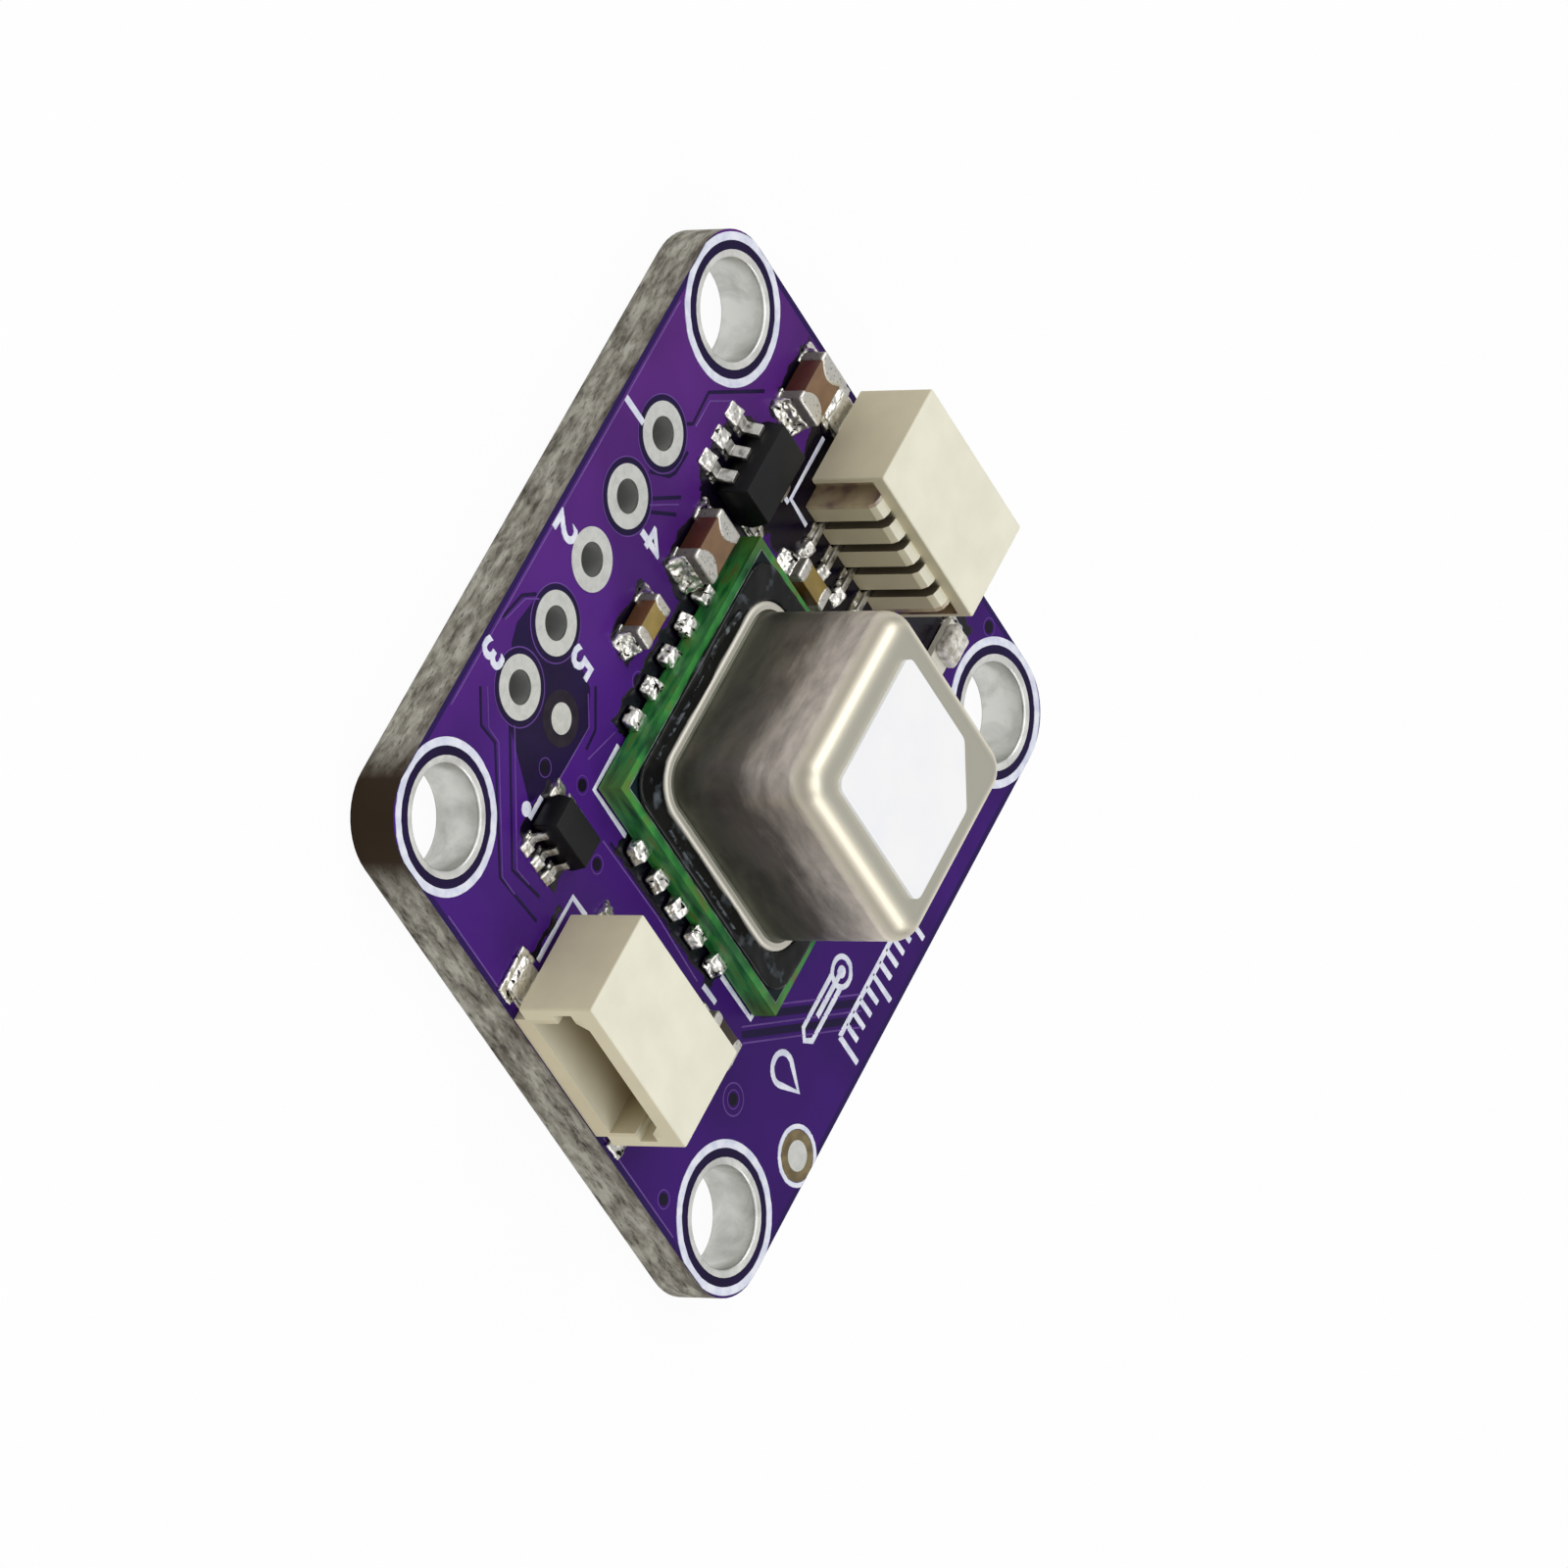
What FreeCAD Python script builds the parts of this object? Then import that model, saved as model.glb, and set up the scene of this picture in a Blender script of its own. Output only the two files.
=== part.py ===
import FreeCAD, Part
import math
import os
import Sketcher

# Temperature and humidity sensor module: a small circuit board with a canned gas sensor,
# two chips, four capacitors, an indicator lamp and two side entry wire sockets.
# Origin at the centre of the board's underside, +Z out of the component side,
# header row along X on the -Y side, wire sockets opening towards +X and -X. Millimetres.

# Driving sizes: alias, value, meaning

SIZES = [
    ("mount_spacing_x", 20.32, "mounting hole spacing along the header row"),
    ("mount_spacing_y", 17.78, "mounting hole spacing across the board"),
    ("edge_margin", 2.29, "hole centre to board edge"),
    ("board_thickness", 1.6, "laminate with mask"),
    ("board_corner_radius", 2.0, "board corner"),
    ("mount_hole", 3.1, "finished mounting hole diameter"),
    ("mount_pad", 3.6, "ring of bare plating round a mounting hole"),
    ("header_pitch", 2.54, "header hole pitch"),
    ("header_count", 5, "header holes"),
    ("header_hole", 1.05, "finished header hole diameter"),
    ("header_pad", 1.95, "ring of bare plating round a header hole"),
    ("plating_wall", 0.06, "copper barrel wall"),
    ("pad_seat", 0.04, "depth of a plated ring in the laminate"),
    ("pad_rise", 0.03, "height of plating above the mask"),
    ("fiducial_pad", 0.95, "alignment pad diameter"),
    ("fiducial_1_x", 4.44, "alignment pad near the header"),
    ("fiducial_1_from_header", 2.05, "its distance from the header row"),
    ("fiducial_2_x", 6.46, "alignment pad at the far edge"),
    ("fiducial_2_from_edge", 0.8, "its distance from the far edge"),
    ("sensor_x", -0.2, "sensor centre"),
    ("sensor_y", 0.8, "sensor centre"),
    ("substrate_size", 10.1, "sensor substrate side"),
    ("substrate_thickness", 0.85, "sensor substrate"),
    ("substrate_lift", 0.1, "solder under the substrate"),
    ("joint_pitch", 1.25, "sensor solder joint pitch"),
    ("joint_count", 5, "sensor solder joints on a side"),
    ("joint_width", 0.62, "sensor solder joint"),
    ("joint_reach", 0.5, "solder outside the substrate"),
    ("joint_inset", 0.6, "solder under the substrate"),
    ("joint_height", 0.42, "solder climb on the substrate edge"),
    ("can_size", 7.5, "drawn can side"),
    ("can_height", 5.25, "drawn can above the substrate"),
    ("can_corner_radius", 1.0, "can corner"),
    ("can_top_radius", 0.8, "bend round the top of the can"),
    ("can_wall", 0.15, "can sheet thickness"),
    ("flange_reach", 0.33, "base lip outside the can wall"),
    ("flange_thickness", 0.18, "base lip"),
    ("lip_round", 0.12, "rounded rim of the base lip, and its curve into the wall"),
    ("vent_size", 3.4, "vent hole under the membrane, diameter"),
    ("membrane_size", 5.2, "vent membrane side"),
    ("membrane_thickness", 0.12, "vent membrane"),
    ("membrane_corner_cut", 1.5, "cut corner of the membrane"),
    ("membrane_corner_radius", 0.35, "rounded corners of the membrane"),
    ("membrane_x", 0.08, "membrane from the centre of the can"),
    ("membrane_y", 0.05, "membrane from the centre of the can"),
    ("bead_reach", 0.72, "sealing bead outside the base lip"),
    ("bead_height", 0.14, "sealing bead"),
    ("emitter_size", 2.2, "infrared emitter side"),
    ("emitter_height", 0.9, "infrared emitter"),
    ("emitter_cap", 1.5, "round window collar of the emitter, diameter"),
    ("microphone_wall_gap", 0.55, "microphone capsule to the inner wall of the can"),
    ("microphone_width", 1.7, "microphone capsule"),
    ("microphone_height", 0.95, "microphone capsule"),
    ("microphone_port", 0.5, "sound port diameter"),
    ("controller_wall_gap", 0.65, "sensor controller chip to the inner wall of the can"),
    ("controller_height", 0.55, "sensor controller chip"),
    ("humidity_size", 1.5, "humidity and temperature chip side"),
    ("humidity_height", 0.55, "humidity and temperature chip"),
    ("humidity_window", 0.8, "open window of the humidity chip, diameter"),
    ("inner_gap", 0.45, "spacing of the pieces inside the can from its middle lines"),
    ("solder_film", 0.05, "solder under a lead or a terminal"),
    ("solder_edge", 0.03, "thickness of solder at the rim of its pad"),
    ("solder_side", 0.08, "solder beside a lead"),
    ("package_gap", 0.1, "air under a moulded package"),
    ("package_draft", 8, "draft of a moulded package, degrees"),
    ("regulator_x", -6.88, "regulator centre"),
    ("regulator_y", -5.2, "regulator centre"),
    ("regulator_length", 2.9, "regulator body"),
    ("regulator_width", 1.6, "regulator body"),
    ("regulator_height", 1.25, "regulator top above the board"),
    ("regulator_span", 2.9, "regulator over its lead tips"),
    ("regulator_foot", 0.45, "flat foot of a regulator lead"),
    ("regulator_lead_width", 0.42, "regulator lead"),
    ("regulator_lead_thickness", 0.15, "regulator lead"),
    ("regulator_lead_pitch", 0.95, "regulator leads"),
    ("regulator_reach", 0.45, "solder beyond a regulator lead"),
    ("shifter_x", 7.18, "level shifter centre"),
    ("shifter_y", -4.9, "level shifter centre"),
    ("shifter_length", 2.0, "level shifter body"),
    ("shifter_width", 1.25, "level shifter body"),
    ("shifter_height", 1.0, "level shifter top above the board"),
    ("shifter_span", 2.1, "level shifter over its lead tips"),
    ("shifter_foot", 0.28, "flat foot of a level shifter lead"),
    ("shifter_lead_width", 0.24, "level shifter lead"),
    ("shifter_lead_thickness", 0.12, "level shifter lead"),
    ("shifter_lead_pitch", 0.65, "level shifter leads"),
    ("shifter_reach", 0.3, "solder beyond a level shifter lead"),
    ("large_chip_length", 2.0, "larger capacitor"),
    ("large_chip_width", 1.25, "larger capacitor"),
    ("large_chip_height", 0.87, "larger capacitor"),
    ("large_chip_terminal", 0.4, "plated end of a larger capacitor"),
    ("small_chip_length", 1.6, "smaller capacitor"),
    ("small_chip_width", 0.8, "smaller capacitor"),
    ("small_chip_height", 0.75, "smaller capacitor"),
    ("small_chip_terminal", 0.32, "plated end of a smaller capacitor"),
    ("chip_plating", 0.03, "end plating of a capacitor"),
    ("chip_edge_round", 0.06, "rounded edges of a capacitor's ends"),
    ("chip_solder_reach", 0.38, "solder beyond a capacitor"),
    ("chip_solder_climb", 0.5, "solder climb on a capacitor end"),
    ("capacitor_1_x", -10.65, "capacitor beside the first mounting hole"),
    ("capacitor_1_y", -4.93, "capacitor beside the first mounting hole"),
    ("capacitor_2_x", -3.65, "capacitor between header and sensor"),
    ("capacitor_2_gap", 0.65, "gap from it to the sensor substrate"),
    ("capacitor_3_x", -0.02, "capacitor between header and sensor"),
    ("capacitor_3_gap", 1.53, "gap from it to the sensor substrate"),
    ("capacitor_4_y", -1.15, "capacitor between sensor and socket 2"),
    ("capacitor_4_offset", -0.07, "from the middle between the sensor and the solder of socket 2"),
    ("lamp_x", -9.75, "indicator lamp centre"),
    ("lamp_y", 5.45, "indicator lamp centre"),
    ("lamp_length", 1.6, "indicator lamp"),
    ("lamp_width", 0.8, "indicator lamp"),
    ("lamp_base_height", 0.25, "carrier of the indicator lamp"),
    ("lamp_lens_length", 1.1, "clear lens of the indicator lamp"),
    ("lamp_lens_height", 0.4, "clear lens of the indicator lamp"),
    ("lamp_lens_radius", 0.15, "rounded lens edge"),
    ("lamp_solder_climb", 0.22, "solder climb on the lamp's ends"),
    ("socket_inner_rim", 6.97, "solder behind a wire socket, from the middle of the board"),
    ("socket_width", 6.1, "wire socket housing"),
    ("socket_depth", 3.72, "wire socket housing, roof"),
    ("socket_height", 3.1, "wire socket housing"),
    ("socket_side_lift", 0.43, "step under the housing's sides"),
    ("socket_side_step", 0.45, "step under the housing's sides, width"),
    ("socket_roof", 0.58, "roof of the housing"),
    ("socket_floor", 0.62, "floor of the housing"),
    ("socket_side_wall", 0.62, "side wall of the housing"),
    ("socket_back_wall", 0.8, "back wall of the housing"),
    ("socket_corner_cut", 0.3, "cut upper corners of the mouth"),
    ("socket_edge_round", 0.08, "rounded upper edges and corners of the housing"),
    ("guide_low", 1.55, "plug guide groove in the side walls, lower face above the board"),
    ("guide_high", 2.2, "plug guide groove in the side walls, upper face above the board"),
    ("guide_depth", 0.35, "plug guide groove in the side walls"),
    ("recess_depth", 0.4, "recess at each end of the rib row"),
    ("recess_wall", 0.17, "side wall left outside that recess"),
    ("way_count", 4, "contacts in a socket"),
    ("way_pitch", 1.0, "contact pitch"),
    ("rib_width", 0.68, "rib on the back of the housing"),
    ("rib_reach", 0.42, "rib behind the roof"),
    ("rib_height", 2.62, "rib above the board"),
    ("rib_round", 0.3, "rounded upper end of a rib"),
    ("contact_width", 0.22, "contact blade"),
    ("contact_thickness", 0.2, "contact blade"),
    ("contact_clearance", 0.05, "slot play beside a contact"),
    ("contact_level", 1.5, "underside of the blade above the board"),
    ("contact_mouth_gap", 0.8, "blade tip behind the mouth"),
    ("contact_foot", 0.85, "foot of a contact behind the ribs"),
    ("contact_reach", 0.45, "solder beyond a contact foot"),
    ("tab_thickness", 0.15, "hold down tab"),
    ("tab_length", 1.2, "hold down tab along the housing"),
    ("tab_from_back", 2.12, "hold down tab, from the back of the roof"),
    ("tab_reach", 0.4, "hold down tab outside the housing"),
    ("tab_rise", 1.45, "hold down tab in the side wall"),
    ("tab_clearance", 0.03, "slot play round a hold down tab"),
    ("tab_solder_reach", 0.22, "solder beyond a hold down tab"),
]

DOC = FreeCAD.newDocument("TemperatureHumidityModule")
SHEET = DOC.addObject("Spreadsheet::Sheet", "Dims")
for row, (alias, value, meaning) in enumerate(SIZES, start=1):
    SHEET.set(f"A{row}", meaning)
    SHEET.set(f"B{row}", str(value))
    SHEET.setAlias(f"B{row}", alias)
DOC.recompute()


# Places worked out from the driving sizes, as expressions

def size(alias):
    return f"Dims.{alias}"


HALF_X = "(Dims.mount_spacing_x / 2 + Dims.edge_margin)"
HALF_Y = "(Dims.mount_spacing_y / 2 + Dims.edge_margin)"
TOP = "Dims.board_thickness"
HEADER_Y = "(-Dims.mount_spacing_y / 2)"
SUBSTRATE_BOTTOM = "(Dims.board_thickness + Dims.substrate_lift)"
SUBSTRATE_TOP = f"({SUBSTRATE_BOTTOM} + Dims.substrate_thickness)"
SUBSTRATE_HALF = "(Dims.substrate_size / 2)"
FLANGE_HALF = "(Dims.can_size / 2 + Dims.flange_reach)"
FLANGE_RADIUS = "(Dims.can_corner_radius + Dims.flange_reach)"
CAN_TOP = f"({SUBSTRATE_TOP} + Dims.can_height)"
CAN_INNER_HALF = "(Dims.can_size / 2 - Dims.can_wall)"
RIB_BACK = "(Dims.socket_depth + Dims.rib_reach)"
CONTACT_TOE = f"({RIB_BACK} + Dims.contact_foot)"
CONTACT_RIM = f"({CONTACT_TOE} + Dims.contact_reach)"
MOUTH_X = f"(Dims.socket_inner_rim + {CONTACT_RIM})"
TAB_START = "(Dims.socket_depth - Dims.tab_from_back - Dims.tab_length)"


# Helpers for bodies, sketches and features

def new_body(label, x="0", y="0", z="0", turn=0):
    body = DOC.addObject("PartDesign::Body", "Body")
    body.Label = label
    body.AllowCompound = True
    body.Placement = FreeCAD.Placement(
        FreeCAD.Vector(0, 0, 0), FreeCAD.Rotation(FreeCAD.Vector(0, 0, 1), turn)
    )
    for axis, place in (("x", x), ("y", y), ("z", z)):
        body.setExpression(f"Placement.Base.{axis}", f"{place} * 1 mm")
    return body


def origin_feature(body, role):
    return next(item for item in body.Origin.OriginFeatures if item.Role == role)


def new_sketch(body, plane="XY_Plane", offset="0"):
    """A sketch on one of the body's origin planes, moved along the plane's normal."""
    sketch = body.newObject("Sketcher::SketchObject", "Sketch")
    sketch.AttachmentSupport = [(origin_feature(body, plane), "")]
    sketch.MapMode = "FlatFace"
    sketch.setExpression("AttachmentOffset.Base.z", f"({offset}) * 1 mm")
    return sketch


def bind(sketch, constraint, expression):
    index = sketch.addConstraint(constraint)
    name = f"size{index}"
    sketch.renameConstraint(index, name)
    sketch.setExpression(f"Constraints.{name}", f"({expression}) * 1 mm")


def add_polygon(sketch, points):
    """A closed outline whose corners are bound to expressions for x and y."""
    first = len(sketch.Geometry)
    count = len(points)
    start = []
    for index in range(count):
        angle = 2 * math.pi * index / count
        start.append(FreeCAD.Vector(5 * math.cos(angle), 5 * math.sin(angle), 0))
    for index in range(count):
        sketch.addGeometry(Part.LineSegment(start[index], start[(index + 1) % count]))
    for index in range(count):
        following = first + (index + 1) % count
        sketch.addConstraint(Sketcher.Constraint("Coincident", first + index, 2, following, 1))
    for index, (x, y) in enumerate(points):
        at = start[index]
        bind(sketch, Sketcher.Constraint("DistanceX", -1, 1, first + index, 1, at.x), x)
        bind(sketch, Sketcher.Constraint("DistanceY", -1, 1, first + index, 1, at.y), y)


def add_box(sketch, x0, x1, y0, y1):
    add_polygon(sketch, [(x0, y0), (x1, y0), (x1, y1), (x0, y1)])


def add_square(sketch, half):
    add_box(sketch, f"-{half}", half, f"-{half}", half)


def add_rounded_square(sketch, half, radius):
    """A square outline about the origin with tangent arcs at its corners."""
    first = len(sketch.Geometry)
    turns = [(1, -1, -90), (1, 1, 0), (-1, 1, 90), (-1, -1, 180)]
    arcs = []
    for side_x, side_y, angle in turns:
        circle = Part.Circle(FreeCAD.Vector(4 * side_x, 4 * side_y, 0), FreeCAD.Vector(0, 0, 1), 1)
        arcs.append(Part.ArcOfCircle(circle, math.radians(angle), math.radians(angle + 90)))
    for index, arc in enumerate(arcs):
        sketch.addGeometry(arc)
        sketch.addGeometry(Part.LineSegment(arc.EndPoint, arcs[(index + 1) % 4].StartPoint))
    for index in range(4):
        arc = first + 2 * index
        line = arc + 1
        following = first + 2 * ((index + 1) % 4)
        sketch.addConstraint(Sketcher.Constraint("Tangent", arc, 2, line, 1))
        sketch.addConstraint(Sketcher.Constraint("Tangent", line, 2, following, 1))
        bind(sketch, Sketcher.Constraint("Radius", arc, 1), radius)
    sides = [("Vertical", "X", 1), ("Horizontal", "Y", 1), ("Vertical", "X", -1), ("Horizontal", "Y", -1)]
    for index, (direction, axis, sign) in enumerate(sides):
        line = first + 2 * index + 1
        sketch.addConstraint(Sketcher.Constraint(direction, line))
        place = Sketcher.Constraint(f"Distance{axis}", -1, 1, line, 1, sign * 5.0)
        bind(sketch, place, f"{sign} * {half}")


def add_circle(sketch, x, y, diameter):
    index = len(sketch.Geometry)
    sketch.addGeometry(Part.Circle(FreeCAD.Vector(1, 1, 0), FreeCAD.Vector(0, 0, 1), 1))
    bind(sketch, Sketcher.Constraint("DistanceX", -1, 1, index, 3, 1), x)
    bind(sketch, Sketcher.Constraint("DistanceY", -1, 1, index, 3, 1), y)
    bind(sketch, Sketcher.Constraint("Diameter", index, 2), diameter)


def solid_volume(body):
    DOC.recompute()
    return 0.0 if body.Shape.isNull() else body.Shape.Volume


def extrude(kind, body, sketch, length, back=False, middle=False):
    """A pad or a pocket, with a test that it really added or removed material."""
    before = solid_volume(body)
    feature = body.newObject(f"PartDesign::{kind}", kind)
    feature.Profile = sketch
    feature.Reversed = back
    feature.SideType = "Symmetric" if middle else "One side"
    feature.setExpression("Length", f"({length}) * 1 mm")
    body.Tip = feature
    gained = solid_volume(body) - before
    if (kind == "Pad" and gained <= 0) or (kind == "Pocket" and gained >= 0):
        raise ValueError(f"{body.Label}: the {kind} changed nothing")
    return feature


def pad(body, sketch, length, back=False, middle=False):
    return extrude("Pad", body, sketch, length, back, middle)


def pocket(body, sketch, length, back=False, middle=False):
    return extrude("Pocket", body, sketch, length, back, middle)


def revolve(body, sketch):
    """A full turn of a profile drawn beside the vertical axis of its sketch."""
    feature = body.newObject("PartDesign::Revolution", "Revolution")
    feature.Profile = sketch
    feature.ReferenceAxis = (sketch, ["V_Axis"])
    feature.Angle = 360
    body.Tip = feature
    DOC.recompute()
    return feature


def row_pattern(body, features, axis, pitch, count):
    """A row of copies along one origin axis."""
    pattern = body.newObject("PartDesign::LinearPattern", "LinearPattern")
    pattern.Originals = features
    pattern.Direction = (origin_feature(body, axis), [""])
    pattern.Mode = "Spacing"
    pattern.setExpression("Offset", f"({pitch}) * 1 mm")
    pattern.setExpression("Occurrences", count)
    if features:
        body.Tip = pattern
        DOC.recompute()
    return pattern


def turned_pattern(body, count):
    """Copies turned about the vertical axis, for use inside a compound pattern."""
    pattern = body.newObject("PartDesign::PolarPattern", "PolarPattern")
    pattern.Axis = (origin_feature(body, "Z_Axis"), [""])
    pattern.Mode = "Extent"
    pattern.Angle = 360
    pattern.Occurrences = count
    return pattern


def compound_pattern(body, features, steps):
    """Copies made by one pattern, all of them repeated by the next."""
    pattern = body.newObject("PartDesign::MultiTransform", "MultiTransform")
    pattern.Originals = features
    pattern.Transformations = steps
    body.Tip = pattern
    DOC.recompute()
    return pattern


def mirror(body, features, plane):
    copy = body.newObject("PartDesign::Mirrored", "Mirrored")
    copy.Originals = features
    copy.MirrorPlane = (origin_feature(body, plane), [""])
    body.Tip = copy
    DOC.recompute()
    return copy


def dress(kind, body, measure, amount, chosen):
    """A fillet or chamfer on the edges of the tip that pass the test."""
    DOC.recompute()
    base = body.Tip
    edges = base.Shape.Edges
    names = [f"Edge{index}" for index, edge in enumerate(edges, start=1) if chosen(edge)]
    if not names:
        raise ValueError(f"{body.Label}: no edge to dress")
    feature = body.newObject(f"PartDesign::{kind}", kind)
    feature.Base = (base, names)
    feature.setExpression(measure, f"({amount}) * 1 mm")
    body.Tip = feature
    DOC.recompute()
    return feature


def fillet(body, amount, chosen):
    return dress("Fillet", body, "Radius", amount, chosen)


def worked_out(expression):
    """The number behind an expression, read through a spare cell of the sheet."""
    SHEET.set("D1", f"={expression.replace('Dims.', '')}")
    SHEET.recompute()
    return float(SHEET.get("D1"))


NEAR = 1e-4


def upright(edge):
    box = edge.BoundBox
    return box.XLength < NEAR and box.YLength < NEAR


def at_height(expression):
    level = worked_out(expression)

    def chosen(edge):
        box = edge.BoundBox
        return abs(box.ZMin - level) < NEAR and abs(box.ZMax - level) < NEAR

    return chosen


def reaching(expression):
    """Edges that lie at a height or climb up to it."""
    level = worked_out(expression)
    return lambda edge: edge.BoundBox.ZMax > level - NEAR


# Circuit board and its plating

def plated_ring_profile(sketch, hole, ring):
    """Half section of a plated barrel with a flat ring at each end of the hole."""
    inner = f"({hole} / 2)"
    barrel = f"({hole} / 2 + Dims.plating_wall)"
    rim = f"({ring} / 2)"
    rise = f"({TOP} + Dims.pad_rise)"
    points = [(inner, "0"), (rim, "0"), (rim, "Dims.pad_seat"), (barrel, "Dims.pad_seat")]
    points += [(barrel, f"{TOP} - Dims.pad_seat"), (rim, f"{TOP} - Dims.pad_seat")]
    points += [(rim, rise), (inner, rise)]
    add_polygon(sketch, points)


def add_hole_row(sketch, diameter):
    for index in range(int(worked_out(size("header_count")))):
        x = f"(({index} - (Dims.header_count - 1) / 2) * Dims.header_pitch)"
        add_circle(sketch, x, HEADER_Y, diameter)


def add_mount_circles(sketch, diameter):
    for side_x in ("-1", "1"):
        for side_y in ("-1", "1"):
            x = f"({side_x} * Dims.mount_spacing_x / 2)"
            y = f"({side_y} * Dims.mount_spacing_y / 2)"
            add_circle(sketch, x, y, diameter)


def circuit_board():
    body = new_body("circuit_board")
    outline = new_sketch(body)
    add_box(outline, f"-{HALF_X}", HALF_X, f"-{HALF_Y}", HALF_Y)
    pad(body, outline, TOP)
    fillet(body, size("board_corner_radius"), upright)
    holes = new_sketch(body)
    add_mount_circles(holes, "Dims.mount_hole + 2 * Dims.plating_wall")
    add_hole_row(holes, size("header_hole"))
    pocket(body, holes, TOP, back=True)
    for offset, back in (("0", True), (TOP, False)):
        seats = new_sketch(body, offset=offset)
        add_mount_circles(seats, size("mount_pad"))
        add_hole_row(seats, size("header_pad"))
        pocket(body, seats, size("pad_seat"), back=back)


def mounting_hole_plating():
    body = new_body("mounting_hole_plating", "-Dims.mount_spacing_x / 2", HEADER_Y)
    profile = new_sketch(body, "XZ_Plane")
    plated_ring_profile(profile, size("mount_hole"), size("mount_pad"))
    ring = revolve(body, profile)
    along = row_pattern(body, [], "X_Axis", size("mount_spacing_x"), "2")
    across = row_pattern(body, [], "Y_Axis", size("mount_spacing_y"), "2")
    compound_pattern(body, [ring], [along, across])


def header_hole_pads():
    """A flat plated ring at each end of every header hole, seated in the laminate."""
    first = "(-(Dims.header_count - 1) / 2 * Dims.header_pitch)"
    body = new_body("header_hole_pads", first, HEADER_Y)
    rings = []
    under = ("0", size("pad_seat"))
    above = (f"{TOP} - Dims.pad_seat", "Dims.pad_seat + Dims.pad_rise")
    for offset, length in (under, above):
        section = new_sketch(body, offset=offset)
        add_circle(section, "0", "0", size("header_pad"))
        add_circle(section, "0", "0", size("header_hole"))
        rings.append(pad(body, section, length))
    row_pattern(body, rings, "X_Axis", size("header_pitch"), size("header_count"))


def fiducial_pads():
    body = new_body("fiducial_pads", z=TOP)
    discs = new_sketch(body)
    near_y = f"{HEADER_Y} + Dims.fiducial_1_from_header"
    add_circle(discs, size("fiducial_1_x"), near_y, size("fiducial_pad"))
    far_y = f"{HALF_Y} - Dims.fiducial_2_from_edge"
    add_circle(discs, size("fiducial_2_x"), far_y, size("fiducial_pad"))
    pad(body, discs, size("pad_rise"))


# Gas sensor

def sensor_body(label, z, x="0", y="0"):
    return new_body(label, f"(Dims.sensor_x + {x})", f"(Dims.sensor_y + {y})", z)


def sensor_substrate():
    body = sensor_body("sensor_substrate", SUBSTRATE_BOTTOM)
    outline = new_sketch(body)
    add_square(outline, SUBSTRATE_HALF)
    pad(body, outline, size("substrate_thickness"))


def sensor_solder_joints():
    """Solder that climbs the substrate's edge, five joints on each of four sides."""
    body = sensor_body("sensor_solder_joints", TOP)
    row_start = "((Dims.joint_count - 1) / 2 * Dims.joint_pitch + Dims.joint_width / 2)"
    profile = new_sketch(body, "XZ_Plane", offset=f"{row_start} - Dims.joint_width")
    edge = SUBSTRATE_HALF
    outer = f"({edge} + Dims.joint_reach)"
    points = [(f"{edge} - Dims.joint_inset", "0"), (outer, "0"), (outer, size("solder_edge"))]
    points += [(f"{edge} + Dims.joint_reach * 0.6", "Dims.joint_height * 0.75")]
    points += [(edge, size("joint_height")), (edge, size("substrate_lift"))]
    points += [(f"{edge} - Dims.joint_inset", size("substrate_lift"))]
    add_polygon(profile, points)
    joint = pad(body, profile, size("joint_width"))
    row = row_pattern(body, [], "Y_Axis", size("joint_pitch"), size("joint_count"))
    compound_pattern(body, [joint], [row, turned_pattern(body, 4)])


def sensor_sealing_bead():
    body = sensor_body("sensor_sealing_bead", SUBSTRATE_TOP)
    ring = new_sketch(body)
    add_rounded_square(ring, f"({FLANGE_HALF} + Dims.bead_reach)", size("can_corner_radius"))
    add_rounded_square(ring, FLANGE_HALF, FLANGE_RADIUS)
    pad(body, ring, size("bead_height"))


def sensor_can():
    """A drawn box with a turned out lip at its foot and a vent hole in its top."""
    body = sensor_body("sensor_can", SUBSTRATE_TOP)
    box = new_sketch(body)
    add_rounded_square(box, "(Dims.can_size / 2)", size("can_corner_radius"))
    pad(body, box, size("can_height"))
    lip = new_sketch(body)
    add_rounded_square(lip, FLANGE_HALF, FLANGE_RADIUS)
    pad(body, lip, size("flange_thickness"))
    cavity = new_sketch(body)
    inner_radius = "(Dims.can_corner_radius - Dims.can_wall)"
    add_rounded_square(cavity, CAN_INNER_HALF, inner_radius)
    pocket(body, cavity, "Dims.can_height - Dims.can_wall", back=True)
    ceiling = "(Dims.can_height - Dims.can_wall)"
    fillet(body, "Dims.can_top_radius - Dims.can_wall", at_height(ceiling))
    fillet(body, size("can_top_radius"), at_height(size("can_height")))
    fillet(body, size("lip_round"), at_height(size("flange_thickness")))
    vent = new_sketch(body, offset=size("can_height"))
    add_circle(vent, "0", "0", size("vent_size"))
    pocket(body, vent, "Dims.can_wall * 2")


def sensor_membrane():
    body = sensor_body("sensor_membrane", CAN_TOP, size("membrane_x"), size("membrane_y"))
    half = "(Dims.membrane_size / 2)"
    cut = f"({half} - Dims.membrane_corner_cut)"
    outline = new_sketch(body)
    points = [(f"-{half}", f"-{half}"), (half, f"-{half}"), (half, half)]
    points += [(f"-{cut}", half), (f"-{half}", cut)]
    add_polygon(outline, points)
    pad(body, outline, size("membrane_thickness"))
    fillet(body, size("membrane_corner_radius"), upright)


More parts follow.
